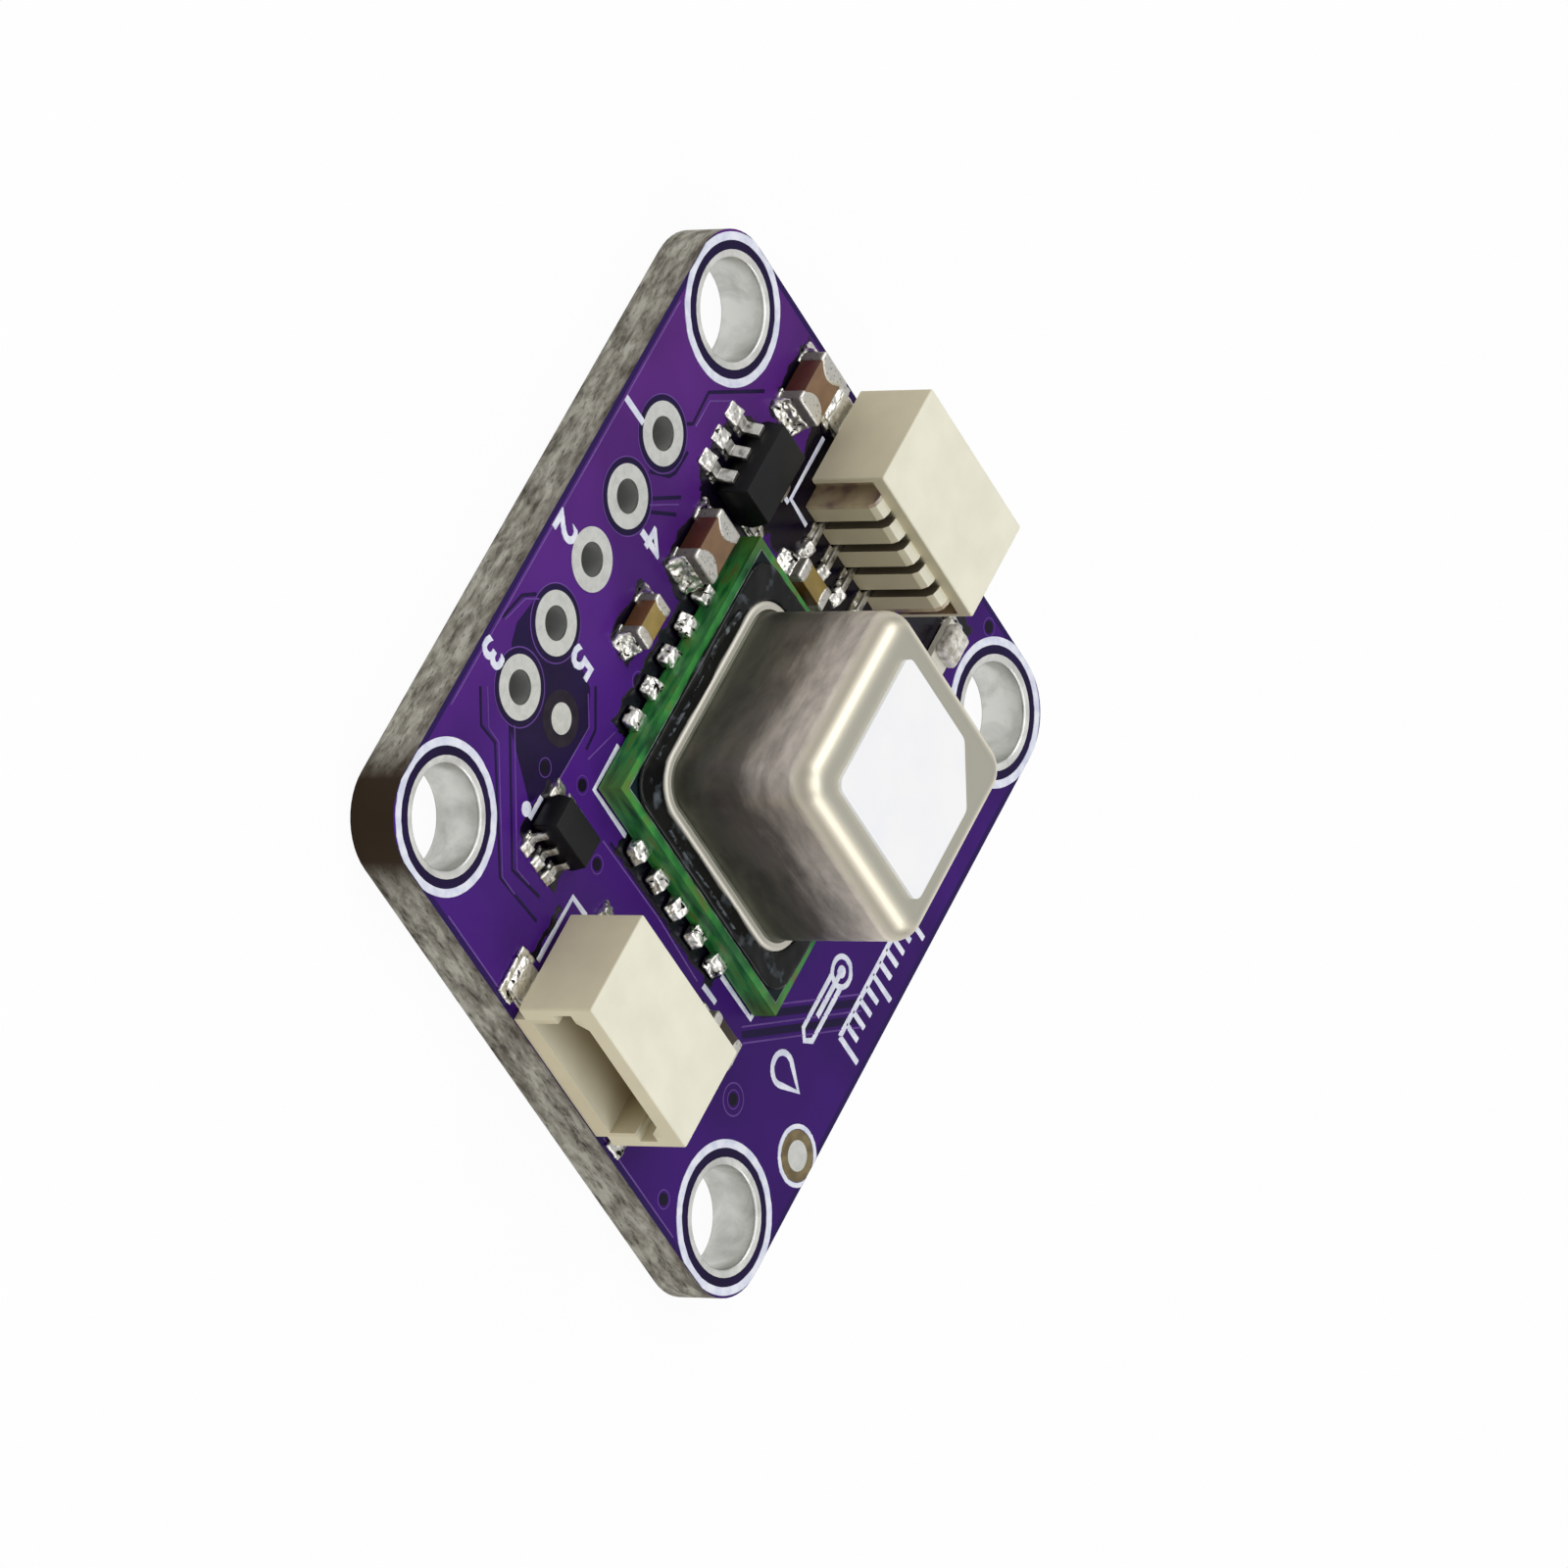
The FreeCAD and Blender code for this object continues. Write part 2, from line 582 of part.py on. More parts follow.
def infrared_emitter():
    place = "(Dims.emitter_size / 2 + Dims.inner_gap)"
    body = sensor_body("infrared_emitter", SUBSTRATE_TOP, f"-{place}", f"-{place}")
    base = new_sketch(body)
    add_square(base, "(Dims.emitter_size / 2)")
    pad(body, base, "Dims.emitter_height / 2")
    collar = new_sketch(body)
    add_circle(collar, "0", "0", size("emitter_cap"))
    pad(body, collar, size("emitter_height"))


def microphone_capsule():
    half_x = f"(({CAN_INNER_HALF} - Dims.microphone_wall_gap - Dims.inner_gap) / 2)"
    x = f"({half_x} + Dims.inner_gap)"
    y = "(Dims.microphone_width / 2 + Dims.inner_gap)"
    body = sensor_body("microphone_capsule", SUBSTRATE_TOP, x, f"-{y}")
    case = new_sketch(body)
    half_y = "(Dims.microphone_width / 2)"
    add_box(case, f"-{half_x}", half_x, f"-{half_y}", half_y)
    pad(body, case, size("microphone_height"))
    port = new_sketch(body, offset=size("microphone_height"))
    add_circle(port, f"{half_x} / 2", "0", size("microphone_port"))
    pocket(body, port, "Dims.microphone_height / 3")


def sensor_controller_chip():
    half = f"(({CAN_INNER_HALF} - Dims.controller_wall_gap - Dims.inner_gap) / 2)"
    place = f"({half} + Dims.inner_gap)"
    body = sensor_body("sensor_controller_chip", SUBSTRATE_TOP, f"-{place}", place)
    block = new_sketch(body)
    add_square(block, half)
    pad(body, block, size("controller_height"))


def humidity_temperature_chip():
    place = "(Dims.humidity_size / 2 + Dims.inner_gap)"
    body = sensor_body("humidity_temperature_chip", SUBSTRATE_TOP, place, place)
    block = new_sketch(body)
    add_square(block, "(Dims.humidity_size / 2)")
    pad(body, block, size("humidity_height"))
    window = new_sketch(body, offset=size("humidity_height"))
    add_circle(window, "0", "0", size("humidity_window"))
    pocket(body, window, "Dims.humidity_height / 2")


# Moulded chips with bent leads

def moulded_package(label, part, x, y, turn):
    """A moulded block that narrows above and below its parting line."""
    body = new_body(label, x, y, TOP, turn)
    half_x = f"(Dims.{part}_length / 2)"
    half_y = f"(Dims.{part}_width / 2)"
    parting = f"(Dims.{part}_height / 2)"
    for length, back in ((f"Dims.{part}_height - {parting}", False), (f"{parting} - Dims.package_gap", True)):
        section = new_sketch(body, offset=parting)
        add_box(section, f"-{half_x}", half_x, f"-{half_y}", half_y)
        half_block = pad(body, section, length, back=back)
        half_block.setExpression("TaperAngle", "-Dims.package_draft * 1 deg")
    DOC.recompute()


def lead_profile(part, side):
    """Side view of one bent lead, from the package to the tip of its foot."""
    wall = f"Dims.{part}_width / 2"
    tip = f"Dims.{part}_span / 2"
    thick = f"Dims.{part}_lead_thickness"
    exit_level = f"(Dims.{part}_height / 2)"
    film = "Dims.solder_film"
    heel = f"({tip} - Dims.{part}_foot)"
    knee = f"({heel} - {thick} * 0.5 + ({wall})) / 2 + {thick} * 0.5"
    outline = [
        (wall, f"{exit_level} + {thick} / 2"),
        (knee, f"{exit_level} + {thick} / 2"),
        (f"{heel} + {thick} * 0.6", f"{film} + {thick}"),
        (tip, f"{film} + {thick}"),
        (tip, film),
        (f"{heel} - {thick} * 0.4", film),
        (f"{knee} - {thick} * 0.8", f"{exit_level} - {thick} / 2"),
        (wall, f"{exit_level} - {thick} / 2"),
    ]
    return [(f"{side} * ({along})", up) for along, up in outline]


def lead_solder_profile(part, side):
    """Side view of the solder under one foot and climbing its tip."""
    tip = f"(Dims.{part}_span / 2)"
    heel = f"({tip} - Dims.{part}_foot - Dims.solder_side)"
    rim = f"({tip} + Dims.{part}_reach)"
    film = "Dims.solder_film"
    climb = f"({film} + Dims.{part}_lead_thickness)"
    outline = [(heel, "0"), (rim, "0"), (rim, size("solder_edge")), (tip, climb), (tip, film)]
    outline += [(heel, film)]
    return [(f"{side} * ({along})", up) for along, up in outline]


def lead_rows(label, part, place, profile, width, rows):
    """Rows of like pieces along both long sides: rows holds side, count and pitch."""
    x, y, turn = place
    body = new_body(label, x, y, TOP, turn)
    for side, count, pitch in rows:
        start = f"(({count} - 1) / 2 * {pitch} + {width} / 2)"
        section = new_sketch(body, "YZ_Plane", offset=f"-{start}")
        add_polygon(section, profile(part, side))
        piece = pad(body, section, width)
        row_pattern(body, [piece], "X_Axis", pitch, str(count))


def moulded_chip(part, label, turn, near_count, near_pitch, far_count, far_pitch):
    place = (size(f"{part}_x"), size(f"{part}_y"), turn)
    rows = [("-1", near_count, near_pitch), ("1", far_count, far_pitch)]
    moulded_package(f"{label}_body", part, *place)
    lead_width = f"Dims.{part}_lead_width"
    lead_rows(f"{label}_leads", part, place, lead_profile, lead_width, rows)
    solder_width = f"({lead_width} + 2 * Dims.solder_side)"
    lead_rows(f"{label}_solder", part, place, lead_solder_profile, solder_width, rows)


# Ceramic capacitors and the indicator lamp

def chip_solder(label, place, length, width, terminal, climb):
    """Solder at both ends of a chip, thin under it and climbing its end face."""
    x, y, turn = place
    body = new_body(label, x, y, TOP, turn)
    section = new_sketch(body, "XZ_Plane")
    end = f"({length} / 2)"
    inner = f"({end} - {terminal})"
    rim = f"({end} + Dims.chip_solder_reach)"
    film = size("solder_film")
    points = [(inner, "0"), (rim, "0"), (rim, size("solder_edge"))]
    points += [(f"{end} + Dims.chip_solder_reach * 0.35", f"{climb} * 0.4"), (end, climb)]
    points += [(end, film), (inner, film)]
    add_polygon(section, points)
    wedge = pad(body, section, width, middle=True)
    mirror(body, [wedge], "YZ_Plane")


def ceramic_capacitor(index, kind, x, y, turn):
    place = (x, y, turn)
    length = f"Dims.{kind}_length"
    width = f"Dims.{kind}_width"
    height = f"Dims.{kind}_height"
    terminal = f"Dims.{kind}_terminal"
    plating = "Dims.chip_plating"
    base = f"({TOP} + Dims.solder_film)"

    core = new_body(f"capacitor_{index}_body", x, y, base, turn)
    block = new_sketch(core, offset=plating)
    half_x = f"({length} / 2 - {plating})"
    half_y = f"({width} / 2 - {plating})"
    add_box(block, f"-{half_x}", half_x, f"-{half_y}", half_y)
    pad(core, block, f"{height} - 2 * {plating}")

    ends = new_body(f"capacitor_{index}_terminals", x, y, base, turn)
    outer = new_sketch(ends)
    add_box(outer, f"-{length} / 2", f"{length} / 2", f"-{width} / 2", f"{width} / 2")
    pad(ends, outer, height)
    fillet(ends, size("chip_edge_round"), lambda edge: True)
    inside = new_sketch(ends, "YZ_Plane")
    add_box(inside, f"-{half_y}", half_y, plating, f"{height} - {plating}")
    pocket(ends, inside, f"{length} - 2 * {plating}", middle=True)
    band = new_sketch(ends)
    inner = f"({length} / 2 - {terminal})"
    add_box(band, f"-{inner}", inner, f"-{width}", width)
    pocket(ends, band, height, back=True)

    chip_solder(f"capacitor_{index}_solder", place, length, width, terminal, size("chip_solder_climb"))


def indicator_lamp():
    place = (size("lamp_x"), size("lamp_y"), 0)
    x, y, turn = place
    base = f"({TOP} + Dims.solder_film)"
    carrier = new_body("indicator_lamp_base", x, y, base, turn)
    slab = new_sketch(carrier)
    half_x = "(Dims.lamp_length / 2)"
    half_y = "(Dims.lamp_width / 2)"
    add_box(slab, f"-{half_x}", half_x, f"-{half_y}", half_y)
    pad(carrier, slab, size("lamp_base_height"))
    lens = new_body("indicator_lamp_lens", x, y, f"({base} + Dims.lamp_base_height)", turn)
    block = new_sketch(lens)
    add_box(block, "-Dims.lamp_lens_length / 2", "Dims.lamp_lens_length / 2", f"-{half_y}", half_y)
    pad(lens, block, size("lamp_lens_height"))
    fillet(lens, size("lamp_lens_radius"), at_height(size("lamp_lens_height")))
    terminal = "(Dims.lamp_length - Dims.lamp_lens_length) / 2"
    climb = size("lamp_solder_climb")
    chip_solder("indicator_lamp_solder", place, size("lamp_length"), size("lamp_width"), terminal, climb)


# Wire sockets. The local frame has the mouth at x = 0 and the back towards -x.

def slot_rows(body, section, width):
    """A cut at the first contact, repeated at each of the others."""
    cut = pocket(body, section, width, back=True)
    row_pattern(body, [cut], "Y_Axis", size("way_pitch"), size("way_count"))


def first_way(width):
    """Offset of an XZ sketch whose feature grows towards -Y, centred on the first contact."""
    return f"((Dims.way_count - 1) / 2 * Dims.way_pitch - {width} / 2)"


def socket_housing(label, place):
    """A hollow moulding: stepped sides, an open mouth, slots and ribs at the back."""
    x, turn = place
    body = new_body(label, x, "0", TOP, turn)
    half = "(Dims.socket_width / 2)"
    foot = f"({half} - Dims.socket_side_step)"
    section = new_sketch(body, "YZ_Plane")
    points = [(f"-{foot}", "0"), (foot, "0"), (foot, size("socket_side_lift"))]
    points += [(half, size("socket_side_lift")), (half, size("socket_height"))]
    points += [(f"-{half}", size("socket_height")), (f"-{half}", size("socket_side_lift"))]
    points += [(f"-{foot}", size("socket_side_lift"))]
    add_polygon(section, points)
    pad(body, section, size("socket_depth"), back=True)
    fillet(body, size("socket_edge_round"), reaching(size("socket_height")))

    mouth = new_sketch(body, "YZ_Plane")
    inner = f"({half} - Dims.socket_side_wall)"
    ceiling = "(Dims.socket_height - Dims.socket_roof)"
    cut = "Dims.socket_corner_cut"
    points = [(f"-{inner}", size("socket_floor")), (inner, size("socket_floor"))]
    points += [(inner, f"{ceiling} - {cut}"), (f"{inner} - {cut}", ceiling)]
    points += [(f"-{inner} + {cut}", ceiling), (f"-{inner}", f"{ceiling} - {cut}")]
    add_polygon(mouth, points)
    pocket(body, mouth, "Dims.socket_depth - Dims.socket_back_wall")
    guides = new_sketch(body, "YZ_Plane")
    groove = f"({inner} + Dims.guide_depth)"
    add_box(guides, f"-{groove}", groove, size("guide_low"), size("guide_high"))
    pocket(body, guides, "Dims.socket_depth - Dims.socket_back_wall")

    recesses = new_sketch(body)
    near = "(Dims.way_count / 2 * Dims.way_pitch + Dims.rib_width / 2)"
    far = f"({half} - Dims.recess_wall)"
    front = "(-Dims.socket_depth + Dims.recess_depth)"
    add_box(recesses, "-Dims.socket_depth", front, near, far)
    add_box(recesses, "-Dims.socket_depth", front, f"-{far}", f"-{near}")
    pocket(body, recesses, size("rib_height"), back=True)

    ribs = new_sketch(body, "XZ_Plane", offset="Dims.way_count / 2 * Dims.way_pitch - Dims.rib_width / 2")
    back = f"-{RIB_BACK}"
    top = size("rib_height")
    round_off = "Dims.rib_round"
    points = [("-Dims.socket_depth", "0"), ("-Dims.socket_depth", top)]
    points += [(f"{back} + {round_off}", top), (f"{back} + {round_off} * 0.3", f"{top} - {round_off} * 0.3")]
    points += [(back, f"{top} - {round_off}"), (back, "0")]
    add_polygon(ribs, points)
    rib = pad(body, ribs, size("rib_width"))
    row_pattern(body, [rib], "Y_Axis", size("way_pitch"), "Dims.way_count + 1")

    slot_width = "(Dims.contact_width + 2 * Dims.contact_clearance)"
    slots = new_sketch(body, "XZ_Plane", offset=first_way(slot_width))
    deep = "(Dims.socket_depth - Dims.socket_back_wall / 2)"
    slot_top = "(Dims.contact_level + Dims.contact_thickness + Dims.contact_clearance)"
    add_box(slots, f"-{RIB_BACK} * 1.1", f"-{deep}", "0", slot_top)
    slot_rows(body, slots, slot_width)
    passage = new_sketch(body, "XZ_Plane", offset=first_way(slot_width))
    wall_face = "(Dims.socket_depth - Dims.socket_back_wall)"
    low = "(Dims.contact_level - Dims.contact_clearance)"
    add_box(passage, f"-{deep} - 0.01", f"-{wall_face} + 0.01", low, slot_top)
    slot_rows(body, passage, slot_width)

    tab_slot = new_sketch(body, offset=size("socket_side_lift"))
    near = f"(-{TAB_START} + Dims.tab_clearance)"
    far = f"(-{TAB_START} - Dims.tab_length - Dims.tab_clearance)"
    blade = tab_blade()
    inner_face = f"({blade} - Dims.tab_clearance)"
    outer_face = f"({blade} + Dims.tab_thickness + Dims.tab_clearance)"
    add_box(tab_slot, far, near, inner_face, outer_face)
    add_box(tab_slot, far, near, f"-{outer_face}", f"-{inner_face}")
    pocket(body, tab_slot, "Dims.tab_rise + Dims.tab_clearance - Dims.socket_side_lift", back=True)


def tab_blade():
    """Inner face of the upright part of a hold down tab, centred in the side wall."""
    return "(Dims.socket_width / 2 - Dims.socket_side_wall / 2 - Dims.tab_thickness / 2)"


def socket_contacts(label, place):
    """Blades that run from the mouth through the back wall and down to the board."""
    x, turn = place
    body = new_body(label, x, "0", f"({TOP} + Dims.solder_film)", turn)
    level = "(Dims.contact_level - Dims.solder_film)"
    thick = "Dims.contact_thickness"
    leg = "(Dims.socket_depth - Dims.contact_clearance)"
    toe = CONTACT_TOE
    bend = "Dims.contact_thickness * 0.5"
    section = new_sketch(body, "XZ_Plane", offset=first_way(size("contact_width")))
    outline = [
        ("-Dims.contact_mouth_gap", f"{level} + {thick} * 0.25"),
        ("-Dims.contact_mouth_gap", f"{level} + {thick} * 0.75"),
        (f"-Dims.contact_mouth_gap - {thick}", f"{level} + {thick}"),
        (f"-{leg} + {bend}", f"{level} + {thick}"),
        (f"-{leg}", f"{level} + {thick} - {bend}"),
        (f"-{leg} - {bend}", f"{thick} + {bend}"),
        (f"-{leg} - 2 * {bend}", thick),
        (f"-{toe}", thick),
        (f"-{toe}", "0"),
        (f"-{leg} + {bend}", "0"),
        (f"-{leg} + 2 * {bend}", bend),
        (f"-{leg} + 2 * {bend}", level),
        (f"-Dims.contact_mouth_gap - {thick}", level),
    ]
    add_polygon(section, outline)
    blade = pad(body, section, size("contact_width"))
    row_pattern(body, [blade], "Y_Axis", size("way_pitch"), size("way_count"))


def socket_tabs(label, place):
    """Bent metal tabs: a blade up into each side wall and a foot out to the board."""
    x, turn = place
    body = new_body(label, x, "0", f"({TOP} + Dims.solder_film)", turn)
    section = new_sketch(body, "YZ_Plane", offset=f"-{TAB_START}")
    inner = tab_blade()
    outer = f"({inner} + Dims.tab_thickness)"
    tip = "(Dims.socket_width / 2 + Dims.tab_reach)"
    thick = "Dims.tab_thickness"
    points = [(inner, "0"), (tip, "0"), (tip, thick), (outer, thick)]
    points += [(outer, "Dims.tab_rise - Dims.solder_film"), (inner, "Dims.tab_rise - Dims.solder_film")]
    add_polygon(section, points)
    tab = pad(body, section, size("tab_length"), back=True)
    mirror(body, [tab], "XZ_Plane")


def socket_solder(label, place):
    x, turn = place
    body = new_body(label, x, "0", TOP, turn)
    width = "(Dims.contact_width + 2 * Dims.solder_side)"
    film = size("solder_film")
    toe = CONTACT_TOE
    rim = CONTACT_RIM
    climb = "(Dims.solder_film + Dims.contact_thickness)"
    foot_start = f"({RIB_BACK} + Dims.solder_side)"
    section = new_sketch(body, "XZ_Plane", offset=first_way(width))
    points = [(f"-{foot_start}", "0"), (f"-{foot_start}", film), (f"-{toe}", film)]
    points += [(f"-{toe}", climb), (f"-{rim}", size("solder_edge")), (f"-{rim}", "0")]
    add_polygon(section, points)
    joint = pad(body, section, width)
    row_pattern(body, [joint], "Y_Axis", size("way_pitch"), size("way_count"))

    flank = new_sketch(body, "YZ_Plane", offset=f"-{TAB_START}")
    near = "(Dims.socket_width / 2 - Dims.socket_side_step + Dims.solder_side)"
    tip = "(Dims.socket_width / 2 + Dims.tab_reach)"
    edge = f"({tip} + Dims.tab_solder_reach)"
    points = [(near, "0"), (edge, "0"), (edge, size("solder_edge"))]
    points += [(tip, "Dims.solder_film + Dims.tab_thickness"), (tip, film), (near, film)]
    add_polygon(flank, points)
    lump = pad(body, flank, size("tab_length"), back=True)
    mirror(body, [lump], "XZ_Plane")


def wire_socket(index, x, turn):
    place = (x, turn)
    socket_housing(f"socket_{index}_housing", place)
    socket_contacts(f"socket_{index}_contacts", place)
    socket_tabs(f"socket_{index}_hold_down_tabs", place)
    socket_solder(f"socket_{index}_solder", place)


# Build, test and write

def build():
    circuit_board()
    mounting_hole_plating()
    header_hole_pads()
    fiducial_pads()

    sensor_substrate()
    sensor_solder_joints()
    sensor_sealing_bead()
    sensor_can()
    sensor_membrane()
    infrared_emitter()
    microphone_capsule()
    sensor_controller_chip()
    humidity_temperature_chip()

    regulator_pitch = size("regulator_lead_pitch")
    moulded_chip("regulator", "regulator", 0, 3, regulator_pitch, 2, f"(2 * {regulator_pitch})")
    shifter_pitch = size("shifter_lead_pitch")
    moulded_chip("shifter", "level_shifter", 90, 3, shifter_pitch, 3, shifter_pitch)

    near_edge = f"(Dims.sensor_y - {SUBSTRATE_HALF})"
    left_edge = f"(Dims.sensor_x - {SUBSTRATE_HALF})"
    y_2 = f"({near_edge} - Dims.capacitor_2_gap - Dims.large_chip_width / 2)"
    y_3 = f"({near_edge} - Dims.capacitor_3_gap - Dims.small_chip_width / 2)"
    x_4 = f"(({left_edge} - Dims.socket_inner_rim) / 2 + Dims.capacitor_4_offset)"
    ceramic_capacitor(1, "large_chip", size("capacitor_1_x"), size("capacitor_1_y"), 0)
    ceramic_capacitor(2, "large_chip", size("capacitor_2_x"), y_2, 0)
    ceramic_capacitor(3, "small_chip", size("capacitor_3_x"), y_3, 0)
    ceramic_capacitor(4, "small_chip", x_4, size("capacitor_4_y"), 90)
    indicator_lamp()

    wire_socket(1, MOUTH_X, 0)
    wire_socket(2, f"(-{MOUTH_X})", 180)
    DOC.recompute()


def check_document():
    for item in DOC.Objects:
        if "Invalid" in item.State or "Error" in item.State:
            raise ValueError(f"{item.Label} ({item.Name}) is not valid: {item.State}")


def write_parts():
    os.makedirs("parts", exist_ok=True)
    for body in DOC.findObjects("PartDesign::Body"):
        shape = body.Shape
        if shape.isNull() or not shape.isValid():
            raise ValueError(f"{body.Label} has no valid shape")
        shape.exportStep(f"parts/{body.Label}.step")
        print(f"{body.Label}: {len(shape.Solids)} solids, {shape.Volume:.4f} mm3")


build()
check_document()
write_parts()
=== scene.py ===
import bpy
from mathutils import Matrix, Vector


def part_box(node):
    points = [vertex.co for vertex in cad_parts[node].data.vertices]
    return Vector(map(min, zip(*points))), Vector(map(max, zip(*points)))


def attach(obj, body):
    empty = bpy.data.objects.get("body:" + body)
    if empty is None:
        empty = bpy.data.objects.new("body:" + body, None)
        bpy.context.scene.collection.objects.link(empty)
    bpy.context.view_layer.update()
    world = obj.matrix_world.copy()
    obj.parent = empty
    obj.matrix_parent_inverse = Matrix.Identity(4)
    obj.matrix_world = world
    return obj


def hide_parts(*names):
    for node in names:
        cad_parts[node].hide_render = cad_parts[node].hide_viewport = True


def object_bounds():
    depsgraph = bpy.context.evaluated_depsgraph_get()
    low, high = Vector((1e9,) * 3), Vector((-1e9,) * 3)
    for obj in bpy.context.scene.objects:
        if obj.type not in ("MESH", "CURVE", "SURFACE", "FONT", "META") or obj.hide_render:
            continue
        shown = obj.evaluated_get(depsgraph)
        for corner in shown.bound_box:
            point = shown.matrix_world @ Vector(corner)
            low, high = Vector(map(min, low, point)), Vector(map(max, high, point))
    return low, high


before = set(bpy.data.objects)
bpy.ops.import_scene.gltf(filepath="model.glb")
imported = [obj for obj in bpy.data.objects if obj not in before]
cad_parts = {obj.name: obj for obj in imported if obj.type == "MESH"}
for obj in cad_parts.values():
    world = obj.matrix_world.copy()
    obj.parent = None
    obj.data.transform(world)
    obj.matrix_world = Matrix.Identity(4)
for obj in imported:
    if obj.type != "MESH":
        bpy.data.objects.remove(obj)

"""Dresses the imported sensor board: finishes, printed ink, tracks, solder, soft edged metal and a studio.

The bench where pieces are modelled is a thousand times life size, so one unit there is one millimetre.
A finished piece is shrunk to metres with its place in its mesh.
"""

import logging
import math
from contextlib import contextmanager
from dataclasses import dataclass, field
from enum import Enum
from functools import partial
from typing import Any, Callable, Iterator, Sequence

import bmesh
import bpy
from mathutils import Matrix, Vector

CAD_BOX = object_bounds()
LOG = logging.getLogger("sensor_board")
Point = tuple[float, float]
Radii = tuple[float, float]
Stops = Sequence[tuple[float, str]]
Piece = bpy.types.Object
Socket = bpy.types.NodeSocket
Node = bpy.types.Node
AddNode = Callable[..., Node]
Inputs = dict[str, Any]

# Metres in a millimetre. Lengths are in millimetres, but for the studio's, which are in metres.
MM = 0.001
# The board's upper face, its mounting holes, the pitch of the header holes between the two near ones,
# the far alignment pad and the middle of the gas sensor.
BOARD_TOP = 1.6
MOUNT = (10.16, 8.89)
MOUNTS: list[Point] = [(x * MOUNT[0], y * MOUNT[1]) for x in (-1, 1) for y in (-1, 1)]
HEADER_PITCH = 2.54
FAR_PAD = (6.46, 10.38)
SENSOR = (-0.2, 0.8)
# How deep a thin layer is sunk into the face under it, and how near two points are one.
SINK = 0.01
MERGE = 0.0005
# Edges sharper than this stay sharp; on melted metal none does.
SMOOTH_ANGLE = math.radians(35)
ALL_SMOOTH = math.pi


class Pick(Enum):
    """What an edit on the bench selects."""

    VERTEX = "VERT"
    EDGE = "EDGE"
    FACE = "FACE"


class Axis(Enum):
    """The way that a chip part lies on the board."""

    X = 0
    Y = 1


class BoardEnd(Enum):
    """The two ends of the board, named by the sign of x."""

    RIGHT = 1
    LEFT = -1


def srgb(code: str) -> tuple[float, float, float, float]:
    """Turns an sRGB hex colour to linear values.

    Args:
        code: six hex digits after a number sign.

    Returns:
        Red, green, blue and full alpha as Blender's sockets take them.
    """
    parts = []
    for start in (1, 3, 5):
        value = int(code[start:start + 2], 16) / 255
        parts.append(value / 12.92 if value <= 0.04045 else ((value + 0.055) / 1.055) ** 2.4)
    return (*parts, 1.0)


def add_node(tree: bpy.types.NodeTree, kind: str, *values: Any, named: Inputs | None = None,
             stops: Stops = (), **settings: Any) -> Node:
    """Adds one node with its settings, constants and links.

    Args:
        tree: the node tree.
        kind: the node's type name, after the words that all of them share.
        values: for the sockets in use, in their order: a number, a hex colour, or the socket or node
            that feeds it.
        named: the same for sockets given by name.
        stops: places and hex colours of a colour ramp.
        settings: the node's own properties.

    Returns:
        The new node.
    """
    node = tree.nodes.new(f"ShaderNode{kind}")
    if kind == "Mix":
        node.data_type = "RGBA"
    for name, value in settings.items():
        setattr(node, name, value)
    if stops:
        ramp = node.color_ramp
        ramp.elements.remove(ramp.elements[-1])
        ramp.elements[0].position, ramp.elements[0].color = stops[0][0], srgb(stops[0][1])
        for place, code in stops[1:]:
            ramp.elements.new(place).color = srgb(code)
    feeds = list(zip([socket for socket in node.inputs if socket.enabled], values))
    feeds += [(node.inputs[name], value) for name, value in (named or {}).items()]
    for socket, value in feeds:
        if isinstance(value, Node):
            value = next(output for output in value.outputs if output.enabled)
        if isinstance(value, Socket):
            tree.links.new(value, socket)
        else:
            socket.default_value = srgb(value) if isinstance(value, str) else value
    return node


def per_mm(*clouds: float) -> tuple[float, ...]:
    """Turns clouds per millimetre along x, y and z to the scale that a pattern takes."""
    return tuple(count / MM for count in clouds)


def coordinates(add: AddNode) -> tuple[Socket, Sequence[Socket], Socket]:
    """Gives object coordinates, the same as x, y and z, and how far a face looks up.

    Args:
        add: adds a node to the material.

    Returns:
        The coordinates, the list of the three, and the last one.
    """
    space = add("TexCoord")
    place, facing = space.outputs["Object"], add("SeparateXYZ", space.outputs["Normal"])
    return place, add("SeparateXYZ", place).outputs, facing.outputs["Z"]


def dimples(add: AddNode, place: Socket, size_mm: float, depth_mm: float, strength: float) -> Node:
    """Gives soft dimples of a width and depth, of which a share shows, for the shader's normal."""
    noise = add("TexNoise", place, 1 / (size_mm * MM), 2.0)
    return add("Bump", named={"Height": noise, "Strength": strength, "Distance": depth_mm * MM})


def step_down(add: AddNode, value: Socket | Node, start_mm: float, width_mm: float) -> Node:
    """Gives a mask that falls from 1 to 0 over a width, where a distance passes the start."""
    return add("MapRange", value, start_mm * MM, (start_mm + width_mm) * MM, 1.0, 0.0)


